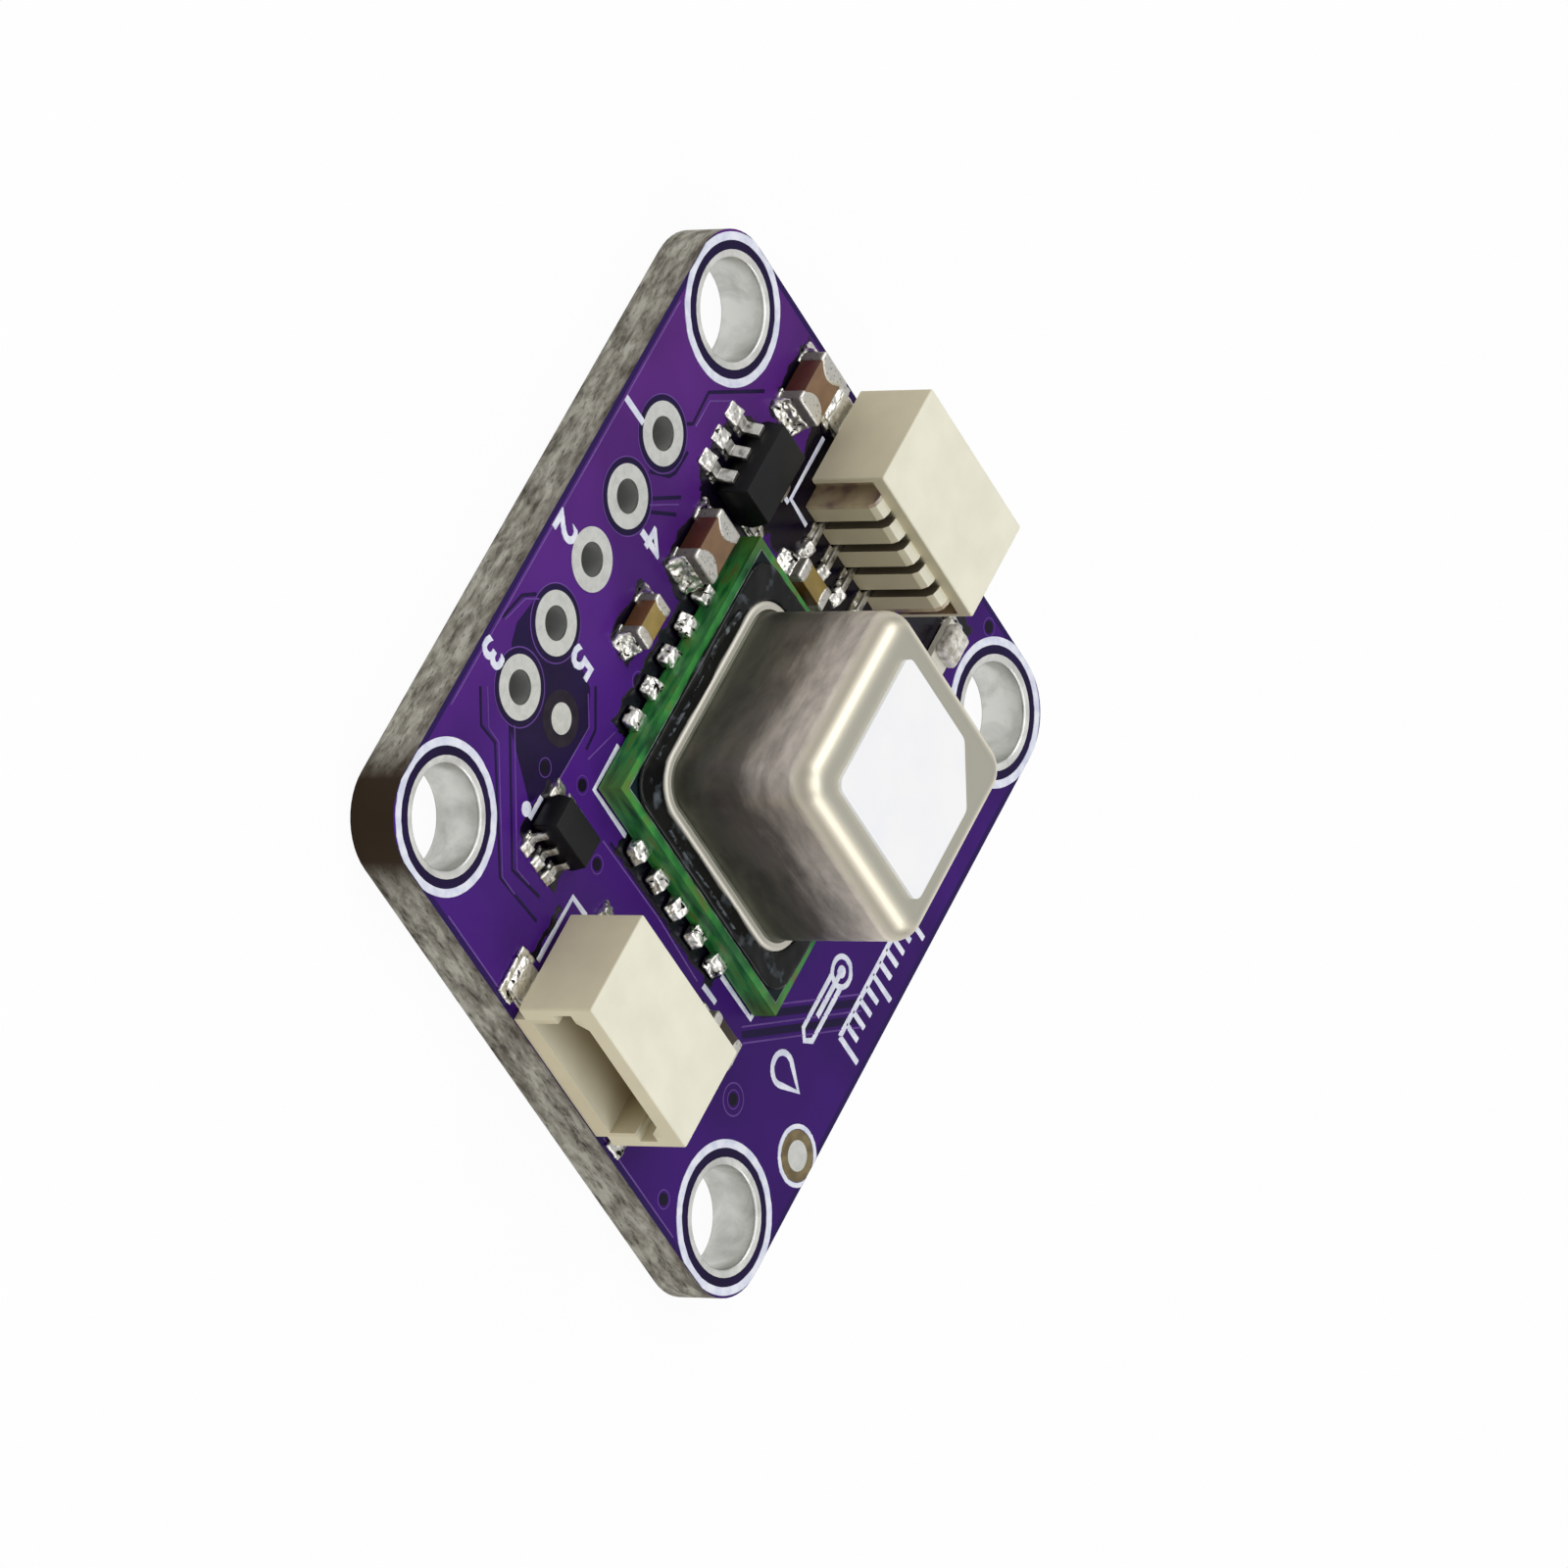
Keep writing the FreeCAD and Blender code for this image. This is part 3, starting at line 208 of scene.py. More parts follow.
class Finish:
    """What all finishes share: a named material whose shader takes what the finish lays over it."""

    name: str

    def material(self) -> bpy.types.Material:
        """Builds the material, or gives the one that was built before.

        Returns:
            A material drawn in object coordinates, with its patterns sized in millimetres.
        """
        if self.name not in bpy.data.materials:
            tree = self.empty_tree(bpy.data.materials.new(self.name))
            add = partial(add_node, tree)
            add("OutputMaterial", self.surface(add))
        return bpy.data.materials[self.name]

    @staticmethod
    def empty_tree(owner: bpy.types.Material | bpy.types.World) -> bpy.types.NodeTree:
        """Gives a material or world an empty node tree.

        Args:
            owner: the material or world.

        Returns:
            The tree.
        """
        owner.use_nodes = True
        owner.node_tree.nodes.clear()
        return owner.node_tree

    def surface(self, add: AddNode) -> Node:
        """Gives the shader, with all that the finish lays over it.

        Args:
            add: adds a node to the material.

        Returns:
            The shader.
        """
        raise NotImplementedError


@dataclass(frozen=True)
class MouldedPlastic(Finish):
    """Moulded plastic, mask, ink or resin: even colour with faint flow clouds and fine spark grain."""

    name: str
    colour: str
    cloud: str
    roughness: float
    cloud_mm: float = 1.8
    # Real spark grain is finer than a pixel, so it is drawn this coarse to show.
    grain_mm: float = 0.09
    grain_depth_mm: float = 0.004
    specular: float = 0.5
    cloud_full: float = 0.35
    cloud_gone: float = 0.62

    def surface(self, add: AddNode) -> Node:
        """Lays clouds over the colour and grain over both.

        Args:
            add: adds a node to the material.

        Returns:
            The shader.
        """
        place = add("TexCoord").outputs["Object"]
        clouds = add("TexNoise", place, 1 / (self.cloud_mm * MM), 3.0)
        tone = add("ValToRGB", clouds, stops=[(self.cloud_full, self.cloud), (self.cloud_gone, self.colour)])
        grain = dimples(add, place, self.grain_mm, self.grain_depth_mm, 0.35)
        return add("BsdfPrincipled", named={"Base Color": tone, "Roughness": self.roughness, "Normal": grain,
                                            "Specular IOR Level": self.specular})


@dataclass(frozen=True)
class SocketNylon(Finish):
    """Cream nylon: pale roof, with painted shade on upright faces, inside the mouth, in the slots and in the
    end recess.
    """

    name: str = "cream_moulded_nylon"
    roof: str = "#f4f1dc"
    # Painted shade: on upright faces, olive inside the mouth, dark in the slots, mottled in the end recess.
    upright: str = "#dcd2b2"
    depth: str = "#8d7230"
    slot: str = "#3d3021"
    rosin: Stops = ((0.4, "#88706a"), (0.5, "#b59f80"), (0.6, "#cbb892"))
    depth_half_mm: float = 2.6
    depth_top_mm: float = 4.13
    pitch_mm: float = 1.0
    rib_mm: float = 0.335
    rear_mm: float = 9.1
    recess_from_mm: float = 2.2
    recess_to_mm: float = 2.89
    fade_from_mm: float = 8
    fade_to_mm: float = 12.4
    # How strongly the painted shade inside the mouth shows along the socket.
    fade: Stops = ((0.0, "#707070"), (0.3, "#707070"), (0.34, "#f0f0f0"), (0.7, "#d0d0d0"),
                   (0.98, "#707070"))
    mottle_mm: float = 1.1
    cloud_mm: float = 1.5

    def surface(self, add: AddNode) -> Node:
        """Paints shade on faces by the way they look, and deeper shade where the moulding folds inwards.

        Args:
            add: adds a node to the material.

        Returns:
            The shader.
        """
        place, (x, y, z), facing = coordinates(add)
        # Painted shade on upright faces.
        outer = add("Mix", add("MapRange", facing, 0.2, 0.8), self.upright, self.roof)
        across, along = (add("Math", value, operation="ABSOLUTE") for value in (y, x))
        # Painted shade inside the mouth, faded along the socket.
        inside = add("Math", step_down(add, across, self.depth_half_mm - 0.05, 0.05),
                     step_down(add, z, self.depth_top_mm - 0.25, 0.25), operation="MULTIPLY")
        fade = add("ValToRGB", add("MapRange", along, self.fade_from_mm * MM, self.fade_to_mm * MM),
                   stops=self.fade)
        colour = add("Mix", add("Math", inside, fade, operation="MULTIPLY"), outer, self.depth)
        row = add("Math", across, self.pitch_mm / 2 * MM, operation="PINGPONG")
        slot = add("Math", row, (self.pitch_mm - self.rib_mm) / 2 * MM, operation="GREATER_THAN")
        recess = add("Math", across, self.recess_from_mm * MM, operation="GREATER_THAN")
        mottle = add("TexNoise", place, 1 / (self.mottle_mm * MM), 3.0)
        overlay = add("ValToRGB", mottle, stops=self.rosin)
        limits = [step_down(add, along, self.rear_mm, 0.02), step_down(add, across, self.recess_to_mm, 0.01),
                  step_down(add, z, self.depth_top_mm, 0.15)]
        # Dark painted shade in the slots, and mottled painted shade in the end recess.
        for mask, share, tone in ((slot, 0.85, self.slot), (recess, 0.9, overlay)):
            for factor in (share, *limits):
                mask = add("Math", mask, factor, operation="MULTIPLY")
            colour = add("Mix", mask, colour, tone)
        clouds = add("TexNoise", place, 1 / (self.cloud_mm * MM), 3.0)
        shade = add("MapRange", clouds, 0.35, 0.65, 0.93, 1.0)
        clouded = add("VectorMath", colour, shade, operation="SCALE")
        return add("BsdfPrincipled", named={"Base Color": clouded, "Roughness": 0.5,
                                            "Normal": dimples(add, place, 0.12, 0.004, 0.3)})


@dataclass(frozen=True)
class TinnedMetal(Finish):
    """Tin plate or reflowed solder: bright skin with dark pits and flux specks, softly dented.

    Fields:
        matte: how far an upward face leaves the mirror look of bare metal.
        flank_matte: the same for an upright face.
        flank: painted shade laid over upright faces, which stand in the dark between parts.
        pool_mm: height below which painted shade turns the metal near black.
    """

    name: str
    bright: str
    dark: str
    roughness: float
    speck_mm: float
    speck_from: float
    speck_to: float
    dent_mm: float
    dent_depth_mm: float
    matte: float = 0.0
    flank_matte: float = 0.0
    flank: str = "#ffffff"
    pool_mm: float = 0.0
    pool: str = "#0b0a0c"

    def surface(self, add: AddNode) -> Node:
        """Specks and dents the skin, and paints shade on its flanks and at its foot.

        Args:
            add: adds a node to the material.

        Returns:
            The shader.
        """
        place, (_, _, z), facing = coordinates(add)
        specks = add("TexNoise", place, 1 / (self.speck_mm * MM), 4.0, 0.6, named={"Distortion": 0.6})
        ramp = add("ValToRGB", specks, stops=[(self.speck_from, self.dark), (self.speck_to, self.bright)])
        # Painted shade on upright faces.
        tone = add("Mix", add("MapRange", facing, 0.1, 0.5), self.flank, "#ffffff")
        skin = add("Mix", 1.0, ramp, tone, blend_type="MULTIPLY")
        # Painted shade, near black, below the foot's height.
        colour = add("Mix", step_down(add, z, self.pool_mm - 0.03, 0.06), skin, self.pool)
        metallic: Node | float = 1.0
        if self.matte or self.flank_matte:
            metallic = add("MapRange", facing, 0.3, 0.9, 1 - self.flank_matte, 1 - self.matte)
        dents = dimples(add, place, self.dent_mm, self.dent_depth_mm, 0.8)
        return add("BsdfPrincipled", named={"Base Color": colour, "Metallic": metallic,
                                            "Roughness": self.roughness, "Normal": dents})


@dataclass(frozen=True)
class MaskedLaminate(Finish):
    """Woven glass laminate under a glossy purple mask: flat faces purple, sawn edges grey and fibrous."""

    name: str = "purple_mask_on_laminate"
    # The mask's purple with painted light: warm and pale towards one corner, deeper towards the other.
    pour: Stops = ((0.0, "#622a86"), (0.36, "#4c1e80"), (0.7, "#3f1772"))
    bare: str = "#2a1554"
    edge: Stops = ((0.32, "#56524a"), (0.47, "#8d897e"), (0.62, "#b5b2a6"))
    browned: str = "#4c4036"
    scorch: str = "#33271b"
    barrel: str = "#8f918e"
    header_y_mm: float = -MOUNT[1]
    header_reach_mm: Point = (0.55, 6)
    pour_inset_mm: float = 0.2
    half_mm: Point = (12.45, 11.18)
    lit_mm: Point = (-28, 24)
    burn_mm: Point = (20.4, 21.9)
    browned_from_mm: float = 1.1
    cloud_mm: float = 5
    blotches: tuple[float, ...] = (1.15, 1.15, 2.7)
    # Single glass fibres are finer than a pixel, so bundles of them are drawn.
    fibres: tuple[float, ...] = (2.6, 2.6, 10.5)

    def surface(self, add: AddNode) -> Node:
        """Tells faces from edges by the direction that they face.

        Args:
            add: adds a node to the material.

        Returns:
            The shader.
        """
        place, split, facing = coordinates(add)
        upward = add("Math", facing, operation="ABSOLUTE")
        flat = add("Math", upward, 0.7, operation="GREATER_THAN")
        colour = add("Mix", flat, self.sawn_edge(add, place, split), self.masked_face(add, place, split))
        return add("BsdfPrincipled", named={
            "Base Color": colour, "Roughness": add("MapRange", flat, 0.0, 1.0, 0.85, 0.25),
            "Specular IOR Level": 0.13, "Normal": dimples(add, place, 0.5, 0.01, 0.25)})

    def masked_face(self, add: AddNode, place: Socket, split: Sequence[Socket]) -> Node:
        """Colours the mask: painted light makes it warmer and paler towards one corner; cloudy, darker along
        the rim that has no copper.

        Args:
            add: adds a node to the material.
            place: object coordinates.
            split: the same as x, y and z.

        Returns:
            The mask's colour.
        """
        clouds = add("TexNoise", place, 1 / (self.cloud_mm * MM), 2.0)
        # Painted light across the board, brightest towards one corner.
        corner = add("Math", split[1], 2.0, split[0], operation="MULTIPLY_ADD")
        from_lit, to_lit = (place_mm * MM for place_mm in self.lit_mm)
        lit = add("ValToRGB", add("MapRange", corner, from_lit, to_lit), stops=self.pour)
        depth = add("MapRange", clouds, 0.38, 0.6, 0.72, 1.0)
        pour = add("VectorMath", lit, depth, operation="SCALE")
        marks = []
        for value, half in zip(split, self.half_mm):
            away = add("Math", value, operation="ABSOLUTE")
            marks.append(add("Math", away, (half - self.pour_inset_mm) * MM, operation="GREATER_THAN"))
        return add("Mix", add("Math", *marks, operation="MAXIMUM"), pour, self.bare)

    def sawn_edge(self, add: AddNode, place: Socket, split: Sequence[Socket]) -> Node:
        """Colours the sawn edge: glass bundles in blotches, browned under the mask, with scorched corners.

        Args:
            add: adds a node to the material.
            place: object coordinates.
            split: the same as x, y and z.

        Returns:
            The edge's colour.
        """
        x, y, z = split
        blotched = add("Mapping", place, named={"Scale": per_mm(*self.blotches)})
        blotches = add("TexNoise", blotched, 1.0, 6.0, 0.62, named={"Distortion": 0.3})
        drawn = add("Mapping", place, named={"Scale": per_mm(*self.fibres)})
        fibre = add("MapRange", add("TexNoise", drawn, 1.0, 6.0, 0.6), 0.34, 0.45, 0.4, 1.03)
        woven = add("VectorMath", add("ValToRGB", blotches, stops=self.edge), fibre, operation="SCALE")
        brown = add("MapRange", z, self.browned_from_mm * MM, BOARD_TOP * MM, 0.0, 0.5)
        browned = add("Mix", brown, woven, self.browned)
        from_burn, to_burn = (place_mm * MM for place_mm in self.burn_mm)
        burn = add("MapRange", add("Math", x, y, operation="SUBTRACT"), from_burn, to_burn)
        sawn = add("Mix", burn, browned, self.scorch)
        from_row = add("Math", y, -self.header_y_mm * MM, operation="ADD")
        near = []
        for value, limit_mm in zip((from_row, x), self.header_reach_mm):
            away = add("Math", value, operation="ABSOLUTE")
            near.append(add("Math", away, limit_mm * MM, operation="LESS_THAN"))
        return add("Mix", add("Math", *near, operation="MULTIPLY"), sawn, self.barrel)


@dataclass(frozen=True)
class GreenLaminate(Finish):
    """Routed green laminate: yellow green where the glass shows, deeper green under the resin."""

    name: str = "green_sensor_laminate"
    streaks: Stops = ((0.3, "#10401c"), (0.42, "#1e6c33"), (0.56, "#3d9743"), (0.68, "#6f6a33"))
    yellow: str = "#5f7a30"
    corner_mm: float = 10.1
    yellow_reach_mm: float = 1.2
    drawn: tuple[float, ...] = (0.5, 0.5, 2.4)

    def surface(self, add: AddNode) -> Node:
        """Streaks the sawn sides and yellows the corners.

        Args:
            add: adds a node to the material.

        Returns:
            The shader.
        """
        place = add("TexCoord").outputs["Object"]
        drawn = add("Mapping", place, named={"Scale": per_mm(*self.drawn)})
        ramp = add("ValToRGB", add("TexNoise", drawn, 1.4, 4.0), stops=self.streaks)
        aways = []
        for value, middle in zip(add("SeparateXYZ", place).outputs, SENSOR):
            moved = add("Math", value, middle * MM, operation="SUBTRACT")
            aways.append(add("Math", moved, operation="ABSOLUTE"))
        total = add("Math", *aways, operation="ADD")
        start = (self.corner_mm - self.yellow_reach_mm) * MM
        corner = add("MapRange", total, start, self.corner_mm * MM, 0.0, 0.6)
        return add("BsdfPrincipled", named={"Base Color": add("Mix", corner, ramp, self.yellow),
                                            "Roughness": 0.42})


@dataclass(frozen=True)
class DrawnNickelSilver(Finish):
    """Deep drawn nickel silver: satin top, walls with painted reflection and some tarnish, painted bend and
    lip highlights.
    """

    name: str = "drawn_nickel_silver"
    # Painted reflection: the walls dark near the foot and lighter up towards the bend.
    wall: Stops = ((0.05, "#65665a"), (0.5, "#8b8477"), (0.76, "#e8e0cf"))
    # Painted highlight on the bend, between the shoulder and the satin top.
    crown: Stops = ((0.25, "#d0c9b8"), (0.7, "#d0c9b8"), (0.88, "#f8f2dd"), (0.99, "#e0ddcd"))
    # Painted highlight on the lip.
    lip: str = "#ece8dc"
    foot_mm: float = 2.55
    lip_mm: float = 0.185
    crown_mm: float = 7.8
    shade_mm: Point = (0.4, 0.8)
    # Painted reflection streaks, stretched upright, that shift the walls' painted reflection up and down.
    draw_marks: tuple[float, ...] = (0.42, 0.42, 1.3)
    # Blotches on the walls, partly tarnish and partly painted reflection.
    stains: tuple[float, ...] = (0.33, 0.33, 0.62)

    def surface(self, add: AddNode) -> Node:
        """Paints reflection on the walls by height, a highlight on the bend by slope, and a highlight on the
        lip.

        Args:
            add: adds a node to the material.

        Returns:
            The shader.
        """
        place, (_, _, z), facing = coordinates(add)
        height = add("MapRange", z, self.foot_mm * MM, self.crown_mm * MM)
        drawn = add("Mapping", place, named={"Scale": per_mm(*self.draw_marks)})
        streak_noise = add("TexNoise", drawn, 1.0, 5.0, 0.62)
        shift = add("Math", streak_noise, 0.55, -0.27, operation="MULTIPLY_ADD")
        wall = add("ValToRGB", add("Math", height, shift, operation="ADD", use_clamp=True), stops=self.wall)
        spread = add("Mapping", place, named={"Scale": per_mm(*self.stains)})
        blot = add("TexNoise", spread, 1.0, 5.0, 0.6, named={"Distortion": 0.5})
        blotched_wall = add("VectorMath", wall, add("MapRange", blot, 0.36, 0.56, 0.66, 1.08), operation="SCALE")
        lean = add("ValToRGB", facing, stops=[(0.12, "#000000"), (0.3, "#ffffff")])
        from_shade, to_shade = ((self.foot_mm + rise_mm) * MM for rise_mm in self.shade_mm)
        raised = add("MapRange", z, from_shade, to_shade)
        slope = add("Math", lean, raised, operation="MULTIPLY")
        sloped = add("Mix", slope, blotched_wall, add("ValToRGB", facing, stops=self.crown))
        foot = add("Math", z, (self.foot_mm + self.lip_mm) * MM, operation="LESS_THAN")
        slack = add("MapRange", facing, 0.2, 0.9, 0.46, 0.41)
        tarnish = add("MapRange", facing, 0.1, 0.5, 0.82, 1.0)
        return add("BsdfPrincipled", named={
            "Base Color": add("Mix", foot, sloped, self.lip),
            "Metallic": add("Math", foot, -0.35, tarnish, operation="MULTIPLY_ADD"),
            "Roughness": add("Math", foot, 0.12, slack, operation="MULTIPLY_ADD"),
            "Normal": dimples(add, place, 0.05, 0.003, 0.2)})


@dataclass(frozen=True)
class FacedBody(Finish):
    """Fired ceramic or moulding compound: painted shade darkens the flanks so the top face is paler; fine
    pores.
    """

    name: str
    face: str
    flank: str
    cloud_mm: float = 0.5
    roughness: float = 0.4
    specular: float = 0.5

    def surface(self, add: AddNode) -> Node:
        """Paints shade on the upright sides, under thin clouds.

        Args:
            add: adds a node to the material.

        Returns:
            The shader.
        """
        space = add("TexCoord")
        place = space.outputs["Object"]
        # Painted shade on the flanks, so that the top face stays paler.
        up = add("MapRange", add("SeparateXYZ", space.outputs["Normal"]).outputs["Z"], 0.5, 0.95)
        clouds = add("TexNoise", place, 1 / (self.cloud_mm * MM), 3.0)
        colour = add("VectorMath", add("Mix", up, self.flank, self.face),
                     add("MapRange", clouds, 0.3, 0.7, 0.82, 1.08), operation="SCALE")
        return add("BsdfPrincipled", named={"Base Color": colour, "Roughness": self.roughness,
                                            "Specular IOR Level": self.specular,
                                            "Normal": dimples(add, place, 0.05, 0.004, 0.3)})


@dataclass(frozen=True)
class PaperFloor(Finish):
    """White studio paper that stays white in the picture and takes a faint shadow."""

    name: str = "white_studio_paper"
    glow: float = 0.93

    def surface(self, add: AddNode) -> Node:
        """Glows white only for what the camera, gloss or glass sees.

        Args:
            add: adds a node to the material.

        Returns:
            The shader.
        """
        camera, glossy, glass = (add("LightPath").outputs[f"Is {ray} Ray"]
                                 for ray in ("Camera", "Glossy", "Transmission"))
        seen = add("Math", add("Math", camera, glossy, operation="MAXIMUM"), glass, operation="MAXIMUM")
        fibres = add("TexNoise", add("TexCoord").outputs["Object"], 1 / (1.5 * MM))
        tone = add("ValToRGB", fibres, stops=[(0.3, "#f6f6f6"), (0.7, "#fbfbfb")])
        return add("MixShader", add("Math", seen, self.glow, operation="MULTIPLY"),
                   add("BsdfDiffuse", tone), add("Emission", "#ffffff", 1.0))


# The mask: purple on copper with painted light, painted highlights along its ridges, near black over bare
# laminate.
MASKED_BOARD = MaskedLaminate()
MASK_RIDGE_HIGHLIGHT = MouldedPlastic("painted_highlight_on_mask_ridges", "#6b4498", "#553080", 0.25, grain_depth_mm=0.002,
                            specular=0.3)
MASK_GAP = MouldedPlastic("purple_mask_on_bare_laminate", "#1f0f40", "#190b34", 0.28,
                          grain_depth_mm=0.002, specular=0.15)
# Painted shade inside the open via holes.
VIA_SHADE = MouldedPlastic("painted_shade_in_via", "#0d0620", "#070312", 0.4, specular=0.2)
# Chalky ink, bluish where it lies thin.
INK = MouldedPlastic("screen_printed_white_ink", "#eef0fb", "#d6daee", 0.55, cloud_mm=0.4, grain_mm=0.06)
# Windows in the mask: dark laminate over inner copper, straw coloured where light comes through.
DARK_WINDOW = MouldedPlastic("dark_bare_laminate", "#2d2530", "#221b28", 0.5, cloud_mm=0.4, specular=0.2)
PALE_WINDOW = MouldedPlastic("pale_bare_laminate", "#857756", "#6b5e44", 0.5, cloud_mm=0.4, specular=0.2)
# Tin on the board: silvery barrels with a bore greyed by painted shade, and dull levelled pads.
RIM_TIN = TinnedMetal("tinned_hole_plating", "#fdfdfa", "#cfcfcb", 0.34, 1.3, 0.3, 0.62, 1.6, 0.006,
                      matte=0.5, flank="#d3d4d1")
PAD_TIN = TinnedMetal("levelled_tin_pad", "#e4e5e0", "#d2d4cf", 0.42, 0.3, 0.3, 0.6, 0.4, 0.008,
                      matte=0.6)
# Solder: bright lumps with black flux pits, painted shade at the sensor joints' feet, and sheets of painted
# shade.
SOLDER = TinnedMetal("reflowed_solder", "#f0eee7", "#1c1a18", 0.33, 0.3, 0.37, 0.43, 0.22, 0.02)
SENSOR_SOLDER = TinnedMetal("sensor_solder_painted_foot_shade", "#f6f4ee", "#141211", 0.3, 0.3, 0.38, 0.44, 0.3, 0.015,
                            pool_mm=1.71)
# Dark sheets of painted shade round the soldered parts.
SHADE_SHEET = MouldedPlastic("painted_shade_sheet", "#10081e", "#080510", 0.22, cloud_mm=0.6, specular=0.4)
# Metal of the parts: frosty plated ends with flanks greyed by painted shade, smooth leads, plain caps.
PLATE = TinnedMetal("plated_terminal", "#f1efe8", "#6b6660", 0.42, 0.1, 0.3, 0.44, 0.12, 0.006,
                    flank_matte=0.6, flank="#908d85")
LEAD = TinnedMetal("tinned_lead_frame", "#e3e1da", "#6d675d", 0.28, 0.3, 0.3, 0.55, 0.3, 0.01)
INNER = TinnedMetal("plain_inner_cap", "#c9c4b6", "#a8a395", 0.35, 0.6, 0.3, 0.6, 0.5, 0.005)
# Bodies, with painted shade on their flanks: dull black compound, brown and tan ceramic, and ceramic
# darkened by painted shade.
EPOXY = FacedBody("black_moulding_compound", "#191a1c", "#050506", 0.6, roughness=0.5, specular=0.28)
BROWN = FacedBody("fired_brown_ceramic", "#86674a", "#55280f")
TAN = FacedBody("fired_tan_ceramic", "#9c8548", "#6a451c")
SHADED_CERAMIC = FacedBody("shade_painted_ceramic", "#3a2a1e", "#26170e")
# Round the sensor: wet black sealant with pale flecks and streaks of painted glint, a thin dark coat with a
# painted highlight on its edge.
SEALANT = MouldedPlastic("glossy_black_sealant", "#0b0d0e", "#565e65", 0.13, cloud_mm=0.9,
                         grain_depth_mm=0.01, specular=0.3, cloud_full=0.28, cloud_gone=0.4)
SEALANT_GLINT = MouldedPlastic("painted_sealant_glint", "#0c0f10", "#787f87", 0.3, cloud_mm=0.22, cloud_full=0.38,
                       cloud_gone=0.54)
COAT = MouldedPlastic("dark_resin_film", "#14262a", "#0d1a1c", 0.3, cloud_mm=1.2, specular=0.14)
COAT_EDGE_HIGHLIGHT = MouldedPlastic("painted_highlight_on_coat_edge", "#8b9c92", "#43594c", 0.4, cloud_mm=0.5)
MEMBRANE = MouldedPlastic("white_vent_membrane", "#ffffff", "#fafbff", 0.7, cloud_mm=2.5, grain_mm=0.05)
# The lamp: off white carrier under a milky, glossy lens.
LAMP_WHITE = MouldedPlastic("white_lamp_carrier", "#e8e6dc", "#dedbd0", 0.5)
LAMP_RESIN = MouldedPlastic("milky_lamp_resin", "#f3f0e8", "#a9a498", 0.12, cloud_mm=0.25)


def clear_selection() -> None:
    """Leaves edit mode and deselects every object."""
    if bpy.context.object and bpy.context.object.mode != "OBJECT":
        bpy.ops.object.mode_set(mode="OBJECT")
    bpy.ops.object.select_all(action="DESELECT")


def choose(piece: Piece) -> None:
    """Makes a piece the only selected and active object.

    Args:
        piece: the object.
    """
    clear_selection()
    piece.select_set(True)
    bpy.context.view_layer.objects.active = piece


@contextmanager
def editing(piece: Piece, pick: Pick = Pick.FACE) -> Iterator[None]:
    """Opens a piece in edit mode with all of it selected, and closes it after the block.

    Args:
        piece: the mesh object to edit.
        pick: what selections are made of.

    Returns:
        The time in which the piece is open.
    """
    choose(piece)
    bpy.ops.object.mode_set(mode="EDIT")
    bpy.ops.mesh.select_mode(type=pick.value)
    bpy.ops.mesh.select_all(action="SELECT")
    yield
    bpy.ops.object.mode_set(mode="OBJECT")


def pick_vertices(piece: Piece, test: Callable[[Vector], bool]) -> None:
    """Selects the vertices of a piece in edit mode whose place passes the test.

    Args:
        piece: the mesh object in edit mode.
        test: tells from a vertex's place whether it is picked.
    """
    mesh = bmesh.from_edit_mesh(piece.data)
    for vertex in mesh.verts:
        vertex.select_set(test(vertex.co))
    mesh.select_flush_mode()
    bmesh.update_edit_mesh(piece.data)


def apply_modifier(piece: Piece, kind: str, **settings: Any) -> None:
    """Adds a modifier with its settings and applies it.

    Args:
        piece: the mesh object.
        kind: the modifier's type name.
        settings: its properties.
    """
    choose(piece)
    modifier = piece.modifiers.new(kind.title(), kind)
    for name, value in settings.items():
        setattr(modifier, name, value)
    bpy.ops.object.modifier_apply(modifier=modifier.name)


def round_edges(piece: Piece, width: float, segments: int = 2, from_degrees: float = 40) -> None:
    """Rounds the edges of a bench piece, so that they catch light.

    Args:
        piece: the bench piece.
        width: how far the rounding reaches.
        segments: its steps.
        from_degrees: flatter edges stay as they are.
    """
    apply_modifier(piece, "BEVEL", width=width, segments=segments, limit_method="ANGLE",
                   angle_limit=math.radians(from_degrees))


def push_about(piece: Piece, size: float, *pushes: tuple[str, float]) -> None:
    """Pushes the points of a bench piece about in a cloudy pattern.

    Args:
        piece: the bench piece.
        size: width of the clouds.
        pushes: directions, each with the whole reach of its push.
    """
    clouds = bpy.data.textures.new("clouds", "CLOUDS")
    clouds.noise_scale = size
    for direction, reach in pushes:
        apply_modifier(piece, "DISPLACE", texture=clouds, strength=reach, mid_level=0.5,
                       direction=direction)


def bench_block(corner: Sequence[float], other: Sequence[float]) -> Piece:
    """Adds a block between two opposite corners, with its place in its mesh.

    Args:
        corner: one corner.
        other: the corner opposite to it.

    Returns:
        The block.
    """
    clear_selection()
    low, high = zip(*(sorted(pair) for pair in zip(corner, other)))
    bpy.ops.mesh.primitive_cube_add(size=1, location=[(a + b) / 2 for a, b in zip(low, high)])
    piece = bpy.context.object
    piece.scale = [b - a for a, b in zip(low, high)]
    bpy.ops.object.transform_apply()
    return piece


def bench_copy(node: str) -> Piece:
    """Copies a CAD node onto the bench in millimetres, its loose triangles merged into whole faces.

    Args:
        node: the CAD node's name.

    Returns:
        The copy.
    """
    clear_selection()
    piece = bpy.data.objects.new(node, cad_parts[node].data.copy())
    bpy.context.scene.collection.objects.link(piece)
    piece.data.materials.clear()
    piece.data.transform(Matrix.Scale(1 / MM, 4))
    with editing(piece):
        bpy.ops.mesh.remove_doubles(threshold=MERGE)
        bpy.ops.mesh.dissolve_limited(angle_limit=math.radians(1))
    return piece


